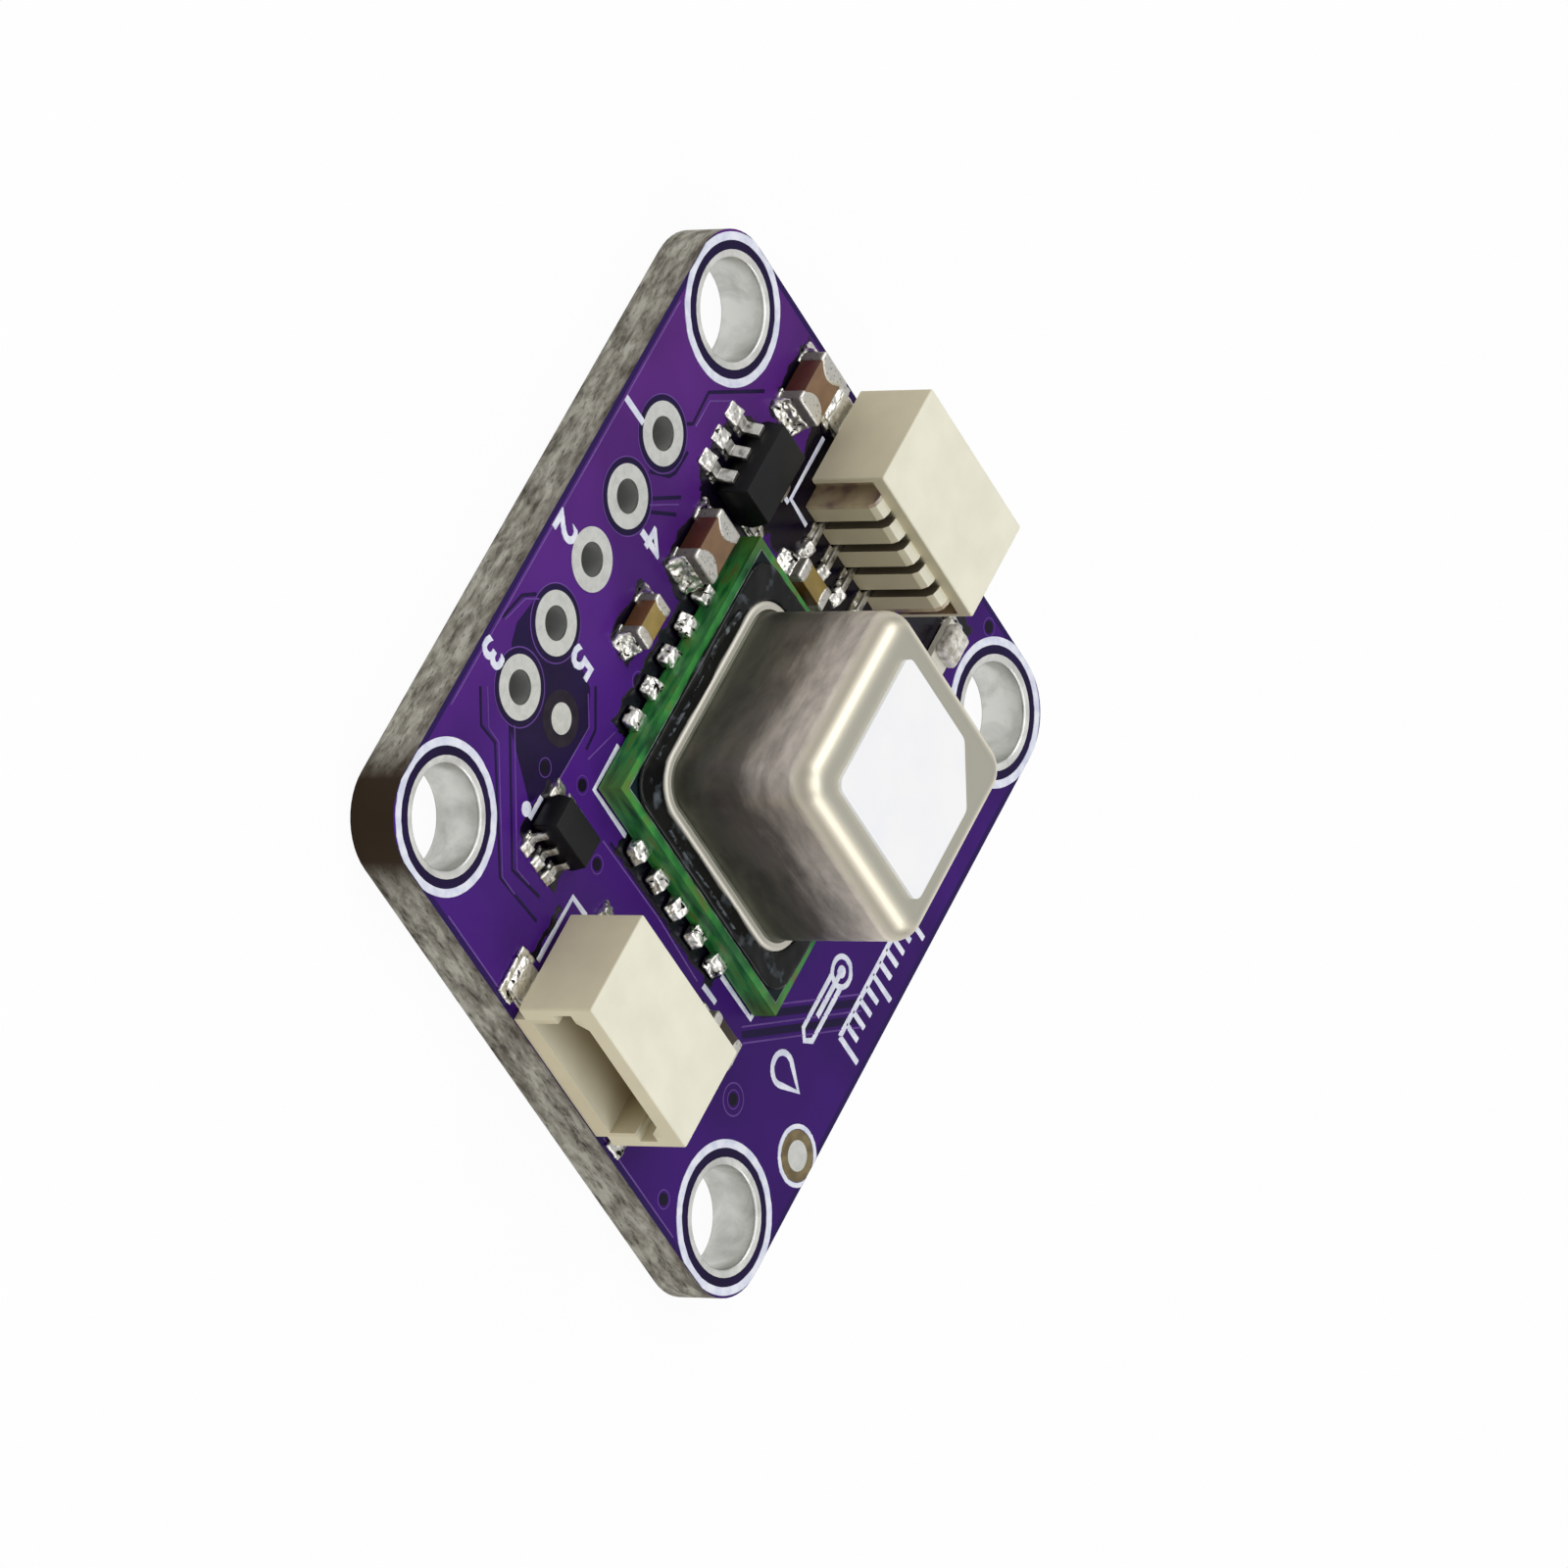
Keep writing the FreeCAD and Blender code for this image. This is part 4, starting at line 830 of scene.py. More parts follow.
def bench_join(pieces: Sequence[Piece]) -> Piece:
    """Joins bench pieces into the first of them.

    Args:
        pieces: the pieces.

    Returns:
        The first piece, now with all of them.
    """
    choose(pieces[0])
    for piece in pieces[1:]:
        piece.select_set(True)
    bpy.ops.object.join()
    return pieces[0]


def layer(rise: float, face: float = BOARD_TOP) -> Point:
    """Gives the underside and top of a thin layer, sunk a little into the face that it lies on."""
    return face - SINK, face + rise


def bench_line(points: Sequence[Point], width: float, span: Point, closed: bool = False) -> Piece:
    """Draws a flat line with softly rounded shoulders through points on the board.

    Args:
        points: x and y of its corners.
        width: its width.
        span: height of its underside and of its crest.
        closed: whether the last point meets the first.

    Returns:
        The line as a closed mesh.
    """
    clear_selection()
    curve = bpy.data.curves.new("line", "CURVE")
    curve.dimensions = "3D"
    curve.bevel_depth = width / 2
    curve.bevel_resolution = 1
    curve.use_fill_caps = True
    spline = curve.splines.new("POLY")
    spline.points.add(len(points) - 1)
    for point, (x, y) in zip(spline.points, points):
        point.co = (x, y, 0, 1)
    spline.use_cyclic_u = closed
    piece = bpy.data.objects.new("line", curve)
    bpy.context.scene.collection.objects.link(piece)
    choose(piece)
    bpy.ops.object.convert(target="MESH")
    piece.location.z = sum(span) / 2
    piece.scale.z = (span[1] - span[0]) / width
    bpy.ops.object.transform_apply()
    with editing(piece):
        bpy.ops.mesh.remove_doubles(threshold=MERGE)
        bpy.ops.mesh.normals_make_consistent(inside=False)
    return piece


def bench_ring(centre: Point, inner: float, outer: float, span: Point) -> Piece:
    """Draws a flat ring on the board.

    Args:
        centre: x and y of its centre.
        inner: inner radius.
        outer: outer radius.
        span: height of its underside and of its face.

    Returns:
        The ring as a closed mesh.
    """
    clear_selection()
    middle = (*centre, sum(span) / 2)
    bpy.ops.mesh.primitive_circle_add(vertices=72, radius=inner, fill_type="NOTHING", location=middle)
    piece = bpy.context.object
    bpy.ops.object.transform_apply()
    grow = outer / inner
    with editing(piece, Pick.EDGE):
        bpy.ops.mesh.extrude_edges_move()
        bpy.ops.transform.resize(value=(grow, grow, 1), center_override=middle)
    apply_modifier(piece, "SOLIDIFY", thickness=span[1] - span[0], offset=0.0)
    with editing(piece):
        bpy.ops.mesh.normals_make_consistent(inside=False)
    return piece


def bench_sheet(points: Sequence[Point], span: Point) -> Piece:
    """Fills an outline on the board with a thin sheet.

    Args:
        points: x and y of its corners.
        span: height of its underside and of its face.

    Returns:
        The sheet as a closed mesh.
    """
    clear_selection()
    bpy.ops.mesh.primitive_circle_add(vertices=len(points), radius=1, fill_type="NGON")
    piece = bpy.context.object
    for vertex, (x, y) in zip(piece.data.vertices, points):
        vertex.co = (x, y, span[0])
    with editing(piece):
        bpy.ops.mesh.extrude_region_move(TRANSFORM_OT_translate={"value": (0, 0, span[1] - span[0])})
        bpy.ops.mesh.select_all(action="SELECT")
        bpy.ops.mesh.normals_make_consistent(inside=False)
    return piece


def bench_drill(piece: Piece, places: Sequence[Point], radius: float) -> None:
    """Drills round holes through a thin sheet.

    Args:
        piece: the sheet.
        places: x and y of the holes.
        radius: their radius.
    """
    for x, y in places:
        clear_selection()
        bpy.ops.mesh.primitive_cylinder_add(vertices=48, radius=radius, depth=10, location=(x, y, 0))
        drill = bpy.context.object
        apply_modifier(piece, "BOOLEAN", object=drill, operation="DIFFERENCE")
        bpy.data.objects.remove(drill)


def finish(piece: Piece, name: str, worn: Finish, replaced: Sequence[str] = (),
           smooth: float = SMOOTH_ANGLE) -> None:
    """Shrinks a bench piece to metres, names and dresses it and sets it on the board.

    Args:
        piece: the finished bench piece.
        name: its name.
        worn: the finish.
        replaced: CAD nodes that it stands for.
        smooth: edges sharper than this angle stay sharp.
    """
    choose(piece)
    piece.name = name
    bpy.ops.object.transform_apply()
    piece.data.transform(Matrix.Scale(MM, 4))
    piece.data.materials.clear()
    piece.data.materials.append(worn.material())
    bpy.ops.object.shade_smooth_by_angle(angle=smooth)
    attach(piece, "root")
    if replaced:
        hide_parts(*replaced)
    LOG.info("%s: %d faces", piece.name, len(piece.data.polygons))


def soften(node: str, name: str, worn: Finish, width: float) -> None:
    """Puts a copy with rounded edges in the place of a CAD node.

    Args:
        node: the CAD node.
        name: the new piece's name.
        worn: the finish.
        width: how far the rounding reaches.
    """
    piece = bench_copy(node)
    round_edges(piece, width)
    finish(piece, name, worn, [node])


def dress(node: str, worn: Finish) -> None:
    """Gives a carried over CAD node its finish, on the object's own slots.

    Args:
        node: the CAD node's name.
        worn: the finish.
    """
    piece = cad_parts[node]
    material = worn.material()
    if not piece.material_slots:
        piece.data.materials.append(material)
    for slot in piece.material_slots:
        slot.link = "OBJECT"
        slot.material = material
    LOG.info("%s: %s", node, material.name)


@dataclass(frozen=True)
class Melt:
    """How a piece melts into one rounded skin, as solder sets.

    Fields:
        swell: how far the skin grows before it is smoothed.
        cell: side of the small cells that the skin is rebuilt from.
        lump: height of the lumps.
        lump_size: width of the lumps.
        passes: how often the skin is smoothed.
    """

    swell: float
    cell: float
    lump: float
    lump_size: float
    passes: int

    def flow(self, piece: Piece) -> Piece:
        """Melts a bench piece.

        Args:
            piece: the bench piece, closed.

        Returns:
            The piece.
        """
        apply_modifier(piece, "DISPLACE", strength=self.swell, mid_level=0.0)
        apply_modifier(piece, "REMESH", mode="VOXEL", voxel_size=self.cell)
        apply_modifier(piece, "SMOOTH", factor=0.5, iterations=self.passes)
        push_about(piece, self.lump_size, ("NORMAL", self.lump))
        return piece

    def recast(self, node: str, name: str, slot: str, worn: Finish) -> None:
        """Puts a melted copy in the place of a CAD node.

        Args:
            node: the CAD node.
            name: the new piece's name.
            slot: the record's material slot; not used.
            worn: the finish.
        """
        finish(self.flow(bench_copy(node)), name, worn, [node], ALL_SMOOTH)


@dataclass
class HoleRims:
    """Tinned plating of the mounting holes, rounded over where the barrel meets the face."""

    barrel: float = 1.55
    rounding: float = 0.1
    above: float = 0.001
    slack: float = 0.02

    def build(self) -> None:
        """Builds the four platings as one piece."""
        rims = bench_copy("mounting_hole_plating")
        with editing(rims, Pick.VERTEX):
            pick_vertices(rims, self.at_mouth)
            bpy.ops.mesh.bevel(offset=self.rounding, segments=4)
        finish(rims, "hole_rims", RIM_TIN, ["mounting_hole_plating"], math.radians(60))

    def at_mouth(self, place: Vector) -> bool:
        """Tells whether a vertex lies on the upper edge of a barrel."""
        away = math.hypot(abs(place.x) - MOUNT[0], abs(place.y) - MOUNT[1])
        return place.z > BOARD_TOP + self.above and away < self.barrel + self.slack


@dataclass
class BoardPrint:
    """White ink on the mask: rings, brackets, plain numbers and two plain signs."""

    ink: float = 0.022
    line: float = 0.2
    mount_ring: Radii = (2.075, 2.33)
    pad_ring: Radii = (0.81, 0.96)
    dot_ring: Radii = (0.02, 0.23)
    dot: Point = (7.49, -6.28)
    bulb_rings: tuple[Radii, Radii] = ((0.38, 0.55), (0.02, 0.2))
    trim: Point = (12.42, 11.15)
    edge_grain: float = 0.12
    raggedness: float = 0.05
    digit_height: float = 1.05
    digit_share: float = 0.7
    digit_swell: float = 0.035
    numbers: tuple[Point, ...] = ((-4.66, -10.4), (0.17, -10.45), (5.22, -10.53), (-2.39, -7.21),
                                  (2.58, -7.27))
    strokes: tuple[tuple[Point, ...], ...] = (
        ((10.41, -2.92), (7.94, -2.92), (7.93, -2.09)),
        ((-10.43, -3.06), (-7.94, -3.03), (-7.88, -1.92)),
        ((4.93, -2.25), (4.93, -4.28), (3.18, -4.28)),
        ((4.93, 3.97), (4.93, 5.9), (3.2, 5.9)),
        ((6.75, -5.97), (7.6, -5.97)),
        ((5.72, 3.5), (5.7, 4.3)),
        ((-7.8, -3.52), (-7.77, -3.04)))

    def build(self) -> None:
        """Builds the print as one piece with slightly ragged edges."""
        parts = [self.ring(place, *self.mount_ring) for place in MOUNTS]
        parts.append(self.ring(FAR_PAD, *self.pad_ring))
        parts.append(self.ring(self.dot, *self.dot_ring))
        parts += [self.draw(stroke) for stroke in self.strokes]
        parts += [self.digit(str(value), place) for value, place in enumerate(self.numbers, 1)]
        parts += self.scale() + self.thermometer() + [self.drop()]
        piece = bench_join(parts)
        push_about(piece, self.edge_grain, ("X", self.raggedness), ("Y", -self.raggedness))
        finish(piece, "screen_print", INK)

    def draw(self, points: Sequence[Point], closed: bool = False) -> Piece:
        """Draws a line of ink."""
        return bench_line(points, self.line, layer(self.ink), closed)

    def ring(self, centre: Point, inner: float, outer: float) -> Piece:
        """Draws a ring and trims it where the board ends.

        Args:
            centre: x and y of its centre.
            inner: inner radius.
            outer: outer radius.

        Returns:
            The trimmed ring.
        """
        piece = bench_ring(centre, inner, outer, layer(self.ink))
        for axis in (0, 1):
            place, normal = Vector(), Vector()
            normal[axis] = math.copysign(1, centre[axis])
            place[axis] = normal[axis] * self.trim[axis]
            with editing(piece):
                bpy.ops.mesh.bisect(plane_co=place, plane_no=normal, use_fill=True, clear_outer=True)
        return piece

    def digit(self, text: str, place: Point) -> Piece:
        """Prints a plain number centred on a place.

        Args:
            text: the number.
            place: x and y of its centre.

        Returns:
            The number as a mesh.
        """
        clear_selection()
        bpy.ops.object.text_add()
        piece = bpy.context.object
        letters = piece.data
        letters.body = text
        letters.size = self.digit_height / self.digit_share
        letters.align_x = letters.align_y = "CENTER"
        letters.extrude = self.ink / 2 + SINK / 2
        letters.offset = self.digit_swell
        bpy.ops.object.convert(target="MESH")
        piece.location = (*place, BOARD_TOP + self.ink / 2)
        bpy.ops.object.transform_apply()
        with editing(piece):
            bpy.ops.mesh.remove_doubles(threshold=MERGE)
        return piece

    def scale(self) -> list[Piece]:
        """Draws a graduated scale along the far edge, every fifth mark a long one.

        Returns:
            The base line and its marks.
        """
        base, start, step, steps, short, long = 9.6, -2.6, 0.5, 10, 0.75, 1.2
        parts = [self.draw([(start, base), (start + steps * step, base)])]
        for index in range(steps + 1):
            x, height = start + index * step, short if index % 5 else long
            parts.append(self.draw([(x, base), (x, base + height)]))
        return parts

    def thermometer(self) -> list[Piece]:
        """Draws a plain thermometer lying along the far edge.

        Returns:
            The tube, the bulb, the bead and the column.
        """
        y, bulb, neck, tip, half = 8.35, 0.9, 1.2, 3.4, 0.3
        outline = [(neck, y - half), (tip, y - half), (tip + 0.25, y), (tip, y + half), (neck, y + half)]
        rings = [bench_ring((bulb, y), *radii, layer(self.ink)) for radii in self.bulb_rings]
        return [self.draw(outline), *rings, self.draw([(bulb, y), (tip - 0.7, y)])]

    def drop(self) -> Piece:
        """Draws a plain water drop beside the thermometer.

        Returns:
            The drop's outline.
        """
        x, y, radius, tip, lean, steps = 5.0, 8.1, 0.5, 1.05, math.radians(35), 16
        angles = [math.pi - lean + (math.pi + 2 * lean) * step / steps for step in range(steps + 1)]
        arc = [(x + radius * math.cos(angle), y + radius * math.sin(angle)) for angle in angles]
        return self.draw([(x, y + tip), *arc], closed=True)


@dataclass
class CopperTracks:
    """What shows of the copper through the mask: gaps in the copper, painted highlights along ridges,
    painted shade in vias.

    Fields that end in rise say how far a mark stands above the board, so that none lies in another.
    """

    pad_gap: Radii = (0.975, 1.16)
    pad_rim: Radii = (1.16, 1.2)
    mount_gap: Radii = (1.8, 2.08)
    via_hole: Radii = (0.02, 0.2)
    via_rim: Radii = (0.27, 0.3)
    land_rim: Radii = (0.47, 0.52)
    header_radius: float = 0.6
    clearing_rise: float = 0.002
    gap_rise: float = 0.004
    hole_rise: float = 0.006
    rim_rise: float = 0.008
    pad_rise: float = 0.01
    edge_rise: float = 0.015
    gap_width: float = 0.16
    edge_width: float = 0.055
    gaps: list[list[Point]] = field(default_factory=lambda: [
        [(-5.98, -8.35), (-6.31, -8.01), (-7.53, -8.08), (-9.45, -6.12)],
        [(-3.82, -8.6), (-4.36, -7.81), (-4.65, -7.66), (-5.53, -7.63)],
        [(-3.22, -8.06), (-4.3, -6.97)],
        [(-2.93, -7.8), (-3.76, -6.8)],
        [(4.11, -10.83), (3.01, -10.59), (2.51, -10.11)],
        [(2.62, -6.26), (3.58, -5.4), (4.31, -5.34)],
        [(6.28, -10.25), (7.09, -9.46), (7.03, -8.65), (9.78, -5.86), (9.59, -3.72)],
        [(6.09, -8.57), (9.24, -5.58), (8.98, -4.11)],
        [(5.57, -2.66), (5.55, 2.25)]])
    bands: list[list[Point]] = field(default_factory=lambda: [
        [(4.52, 6.18), (0.92, 9.72)],
        [(5.56, 5.92), (1.29, 10.06)]])
    band_width: float = 0.32
    # Painted highlights along the ridges of the mask over track edges and along the board's rim.
    edges: list[list[Point]] = field(default_factory=lambda: [
        [(-6.34, -7.85), (-7.38, -7.86), (-8.23, -6.97)],
        [(-3.08, -7.93), (-4.06, -6.91)],
        [(4.08, -10.7), (2.97, -10.4), (2.54, -9.93)],
        [(3.02, -6.37), (3.73, -5.67), (5.79, -5.69)],
        [(3.01, -4.66), (4.46, -5.08)],
        [(6.05, -10.0), (6.91, -9.15), (6.91, -8.53), (9.7, -5.78), (9.69, -5.02)],
        [(6.04, -8.31), (9.09, -5.41), (9.02, -4.7)],
        [(5.75, -2.97), (5.66, 0.52), (5.81, 3.21)],
        [(4.35, 6.0), (0.75, 9.54)],
        [(5.39, 5.74), (1.12, 9.88)],
        [(-8.6, -10.88), (7.6, -10.88)],
        [(12.2, -6.9), (12.2, -3.2)],
        [(12.2, 2.9), (12.2, 7.4)],
        [(5.73, 6.1), (1.46, 10.24)]])
    keep_out: list[Point] = field(default_factory=lambda: [
        (3.75, -10.23), (2.71, -10.08), (2.58, -7.4), (2.84, -6.41), (3.79, -5.62), (5.82, -5.72),
        (7.27, -6.27), (6.2, -8.48), (4.34, -10.03)])
    vias: list[Point] = field(default_factory=lambda: [
        (6.0, -6.43), (5.2, -4.78), (6.46, -2.71), (7.26, 6.88), (11.67, 6.3), (-6.9, -2.98),
        (-11.92, 6.94), (1.14, -4.86), (8.44, 1.48)])
    header: list[Point] = field(default_factory=lambda: [
        (steps * HEADER_PITCH, -MOUNT[1]) for steps in (-2, -1, 1, 2)])
    land: Point = (7.26, 6.88)

    def build(self) -> None:
        """Builds the dark gaps, the painted shade in the vias and the painted highlights along ridges as
        three pieces.
        """
        level, rim = layer(self.gap_rise), layer(self.rim_rise)
        dark = [bench_line(line, self.gap_width, level) for line in self.gaps]
        dark += [bench_line(line, self.band_width, level) for line in self.bands]
        clearing = bench_sheet(self.keep_out, layer(self.clearing_rise))
        bench_drill(clearing, self.header[2:], self.header_radius)
        dark.append(clearing)
        dark += [bench_ring(place, *self.pad_gap, level) for place in self.header]
        dark += [bench_ring(place, *self.mount_gap, level) for place in MOUNTS]
        finish(bench_join(dark), "mask_gaps", MASK_GAP)
        # Painted shade inside the open vias.
        holes = [bench_ring(place, *self.via_hole, layer(self.hole_rise)) for place in self.vias]
        finish(bench_join(holes), "via_hole_shade", VIA_SHADE)
        # Painted highlights along ridges and on the rims of vias, the far land and the header pads.
        pale = [bench_line(line, self.edge_width, layer(self.edge_rise)) for line in self.edges]
        pale += [bench_ring(place, *self.via_rim, rim) for place in self.vias]
        pale.append(bench_ring(self.land, *self.land_rim, rim))
        pale += [bench_ring(place, *self.pad_rim, layer(self.pad_rise)) for place in self.header]
        finish(bench_join(pale), "painted_ridge_highlights", MASK_RIDGE_HIGHLIGHT)


@dataclass
class Fiducials:
    """Bare laminate windows round the two alignment pads."""

    pad_radius: float = 0.475
    dark: Point = (4.44, -6.84)
    dark_radius: float = 0.85
    pale: Point = FAR_PAD
    pale_radius: float = 0.79
    rise: float = 0.005

    def build(self) -> None:
        """Builds one window over dark inner layers and one that light passes through."""
        for name, place, radius, worn in (("dark_window", self.dark, self.dark_radius, DARK_WINDOW),
                                          ("pale_window", self.pale, self.pale_radius, PALE_WINDOW)):
            ring = bench_ring(place, self.pad_radius, radius, layer(self.rise))
            finish(ring, name, worn)


@dataclass
class FluxStains:
    """Dark, glossy sheets that paint the shade round the soldered parts, with the gloss of flux."""

    rise: float = 0.012
    sensor_inner: float = 4.9
    sensor_outer: float = 5.8
    sensor_half: float = 3.1
    cell: float = 0.05
    raggedness: float = 0.5
    # Outlines of painted shade, named by the part that they lie round.
    stains: dict[str, list[Point]] = field(default_factory=lambda: {
        "regulator": [(-5.6, -7.1), (-7.9, -6.8), (-8.5, -6.0), (-8.6, -3.4), (-7.9, -1.9), (-6.3, -3.2),
                      (-5.2, -4.2), (-5.1, -6.4)],
        "second_socket": [(-8.9, -2.9), (-7.2, -3.0), (-6.3, -2.9), (-6.1, 2.2), (-8.9, 2.2)],
        "second_socket_side": [(-12.0, -2.3), (-12.0, -3.7), (-10.2, -3.7), (-8.2, -3.35), (-7.6, -2.9),
                               (-8.4, -2.2)],
        "large_capacitor": [(-5.2, -4.9), (-5.3, -6.3), (-2.2, -6.4), (-1.9, -4.6), (-3.6, -4.2)],
        "small_capacitor": [(-1.3, -5.6), (-1.2, -6.8), (1.2, -6.8), (1.3, -5.5)],
        "first_capacitor": [(-12.1, -4.2), (-12.1, -5.7), (-9.2, -5.7), (-9.2, -4.1)],
        "level_shifter": [(6.0, -6.1), (8.4, -6.1), (8.5, -3.7), (6.0, -3.6)],
        "first_socket_side": [(8.5, -3.0), (8.5, -3.3), (10.5, -3.3), (10.5, -3.0)],
        "lamp": [(-10.9, 4.6), (-9.9, 3.5), (-8.9, 3.5), (-8.6, 4.8), (-8.6, 6.1), (-11.3, 6.4),
                 (-11.4, 5.3)]})

    def build(self) -> None:
        """Builds the painted shade as one piece with ragged rims."""
        low, top = layer(self.rise)
        parts = [bench_sheet(outline, (low, top)) for outline in self.stains.values()]
        (x, y), half = SENSOR, self.sensor_half
        for sign in (-1, 1):
            near, far = sign * self.sensor_inner, sign * self.sensor_outer
            parts.append(bench_block((x + near, y - half, low), (x + far, y + half, top)))
            parts.append(bench_block((x - half, y + near, low), (x + half, y + far, top)))
        piece = bench_join(parts)
        apply_modifier(piece, "REMESH", mode="VOXEL", voxel_size=self.cell)
        push_about(piece, self.raggedness, ("X", self.raggedness), ("Y", -self.raggedness))
        finish(piece, "painted_shade_sheets", SHADE_SHEET)


@dataclass
class GasSensor:
    """The tall sensor: sealant round the can, a coated laminate and lumpy joints along its sides."""

    substrate_top: float = 2.55
    coat_half: float = 4.78
    coat_line: float = 0.05
    coat_rise: float = 0.008
    line_rise: float = 0.02
    bead_cell: float = 0.07
    wave_width: float = 1.4
    wave_height: float = 0.16
    frost_span: Point = (2.57, 2.79)
    joint: Melt = Melt(0.06, 0.035, 0.13, 0.35, 24)
    # Widths and courses of painted glint lines on the sealant.
    frost: tuple[tuple[float, tuple[Point, ...]], ...] = (
        (0.16, ((-0.74, -3.8), (-1.18, -3.84), (-1.66, -3.78), (-2.21, -3.68), (-2.85, -3.56))),
        (0.035, ((3.2, -3.72), (1.1, -3.68), (0.46, -3.72), (-0.12, -3.74))),
        (0.04, ((4.36, -1.9), (4.42, -0.6), (4.38, 0.9), (4.44, 2.4))))

    def build(self) -> None:
        """Builds the wavy sealant with its painted glints, the coat with a painted highlight on its edge,
        and the joints.
        """
        bead = bench_copy("sensor_sealing_bead")
        apply_modifier(bead, "REMESH", mode="VOXEL", voxel_size=self.bead_cell)
        apply_modifier(bead, "SMOOTH", factor=0.5, iterations=4)
        push_about(bead, self.wave_width, ("NORMAL", self.wave_height))
        finish(bead, "sealant_bead", SEALANT, ["sensor_sealing_bead"], ALL_SMOOTH)
        # Painted glints on the sealant.
        streaks = bench_join([bench_line(points, width, self.frost_span) for width, points in self.frost])
        finish(streaks, "painted_sealant_glints", SEALANT_GLINT)
        (x, y), half = SENSOR, self.coat_half
        square = [(x - half, y - half), (x + half, y - half), (x + half, y + half), (x - half, y + half)]
        overlay = bench_sheet(square, layer(self.coat_rise, self.substrate_top))
        finish(overlay, "coating_film", COAT)
        # Painted highlight along the coat's edge.
        rim = bench_line(square, self.coat_line, layer(self.line_rise, self.substrate_top), closed=True)
        finish(rim, "coating_edge_highlight", COAT_EDGE_HIGHLIGHT)
        self.joint.recast("sensor_solder_joints", "sensor_joints", "solder", SENSOR_SOLDER)


@dataclass
class SolderedChip:
    """A moulded chip on bent leads that sit in lumpy solder."""

    name: str
    rounding: float = 0.035
    joint: Melt = Melt(0.05, 0.03, 0.08, 0.25, 9)

    def build(self) -> None:
        """Builds the body, the leads and the solder."""
        name = self.name
        soften(f"{name}_body", f"{name}_case", EPOXY, self.rounding)
        soften(f"{name}_leads", f"{name}_legs", LEAD, self.rounding)
        self.joint.recast(f"{name}_solder", f"{name}_joints", "solder", SOLDER)


@dataclass(frozen=True)
class ChipSize:
    """What chip capacitors of one size share.

    Fields:
        length: how far a plated end reaches at its corners.
        bulge: how much further it reaches in the middle.
        lump: height of the lumps in its solder.
        slot: the record's slot for its ceramic; not used.
        ceramic: the ceramic's finish.
        rounding: how far the rounding of an end's edges reaches.
        inner_part: share of the length past which an end bulges.
        bowed: reaches of the steps that bow an inner edge, each with its share of the bulge.
    """

    length: float
    bulge: float
    lump: float
    slot: str
    ceramic: Finish
    rounding: float = 0.09
    inner_part: float = 0.6
    bowed: Sequence[tuple[float, float]] = ((0.85, 0.39), (0.65, 0.3), (0.45, 0.2), (0.25, 0.11))

    def ends(self, low: Vector, high: Vector, axis: Axis) -> Piece:
        """Shapes both plated ends, with inner edges that bulge inwards.

        Args:
            low: lowest corner of both ends.
            high: highest corner of both ends.
            axis: the way from end to end.

        Returns:
            The two ends as one piece.
        """
        along, across = axis.value, 1 - axis.value
        corner = Vector(high)
        corner[along] = low[along] + self.length
        end = bench_block(low, corner)
        half = (high[across] - low[across]) / 2
        middle = low[across] + half
        inner = low[along] + self.length * self.inner_part
        round_edges(end, self.rounding, 3, 60)
        with editing(end, Pick.VERTEX):
            bpy.ops.mesh.subdivide(number_cuts=8)
            for reach, share in self.bowed:
                pick_vertices(end, lambda place: (place[along] > inner
                                                  and abs(place[across] - middle) < half * reach))
                shift = Vector()
                shift[along] = self.bulge * share
                bpy.ops.transform.translate(value=shift)
        other = end.copy()
        other.data = end.data.copy()
        bpy.context.scene.collection.objects.link(other)
        choose(other)
        bpy.ops.transform.rotate(value=math.pi, orient_axis="Z", center_override=(low + high) / 2)
        bpy.ops.object.transform_apply()
        return bench_join([end, other])


# Two brown capacitors are large, two tan ones small, and the one in the shade of a socket is darkened by
# painted shade.
LARGE_CHIP = ChipSize(0.4, 0.26, 0.16, "ceramic_brown", BROWN)
SMALL_CHIP = ChipSize(0.32, 0.08, 0.12, "ceramic_tan", TAN)
SHADED_CHIP = ChipSize(0.32, 0.08, 0.1, "ceramic_brown", SHADED_CERAMIC)


@dataclass
class ChipCapacitor:
    """A fired ceramic block between rounded, plated ends."""

    number: int
    size: ChipSize
    axis: Axis = Axis.X
    rounding: float = 0.04

    def build(self) -> None:
        """Builds the ceramic, the plated ends and their solder."""
        name = f"capacitor_{self.number}"
        soften(f"{name}_body", f"{name}_ceramic", self.size.ceramic, self.rounding)
        low, high = (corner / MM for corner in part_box(f"{name}_terminals"))
        ends = self.size.ends(low, high, self.axis)
        finish(ends, f"{name}_plated_ends", PLATE, [f"{name}_terminals"], ALL_SMOOTH)
        Melt(0.08, 0.035, self.size.lump, 0.3, 30).recast(f"{name}_solder", f"{name}_joints", "solder",
                                                          SOLDER)


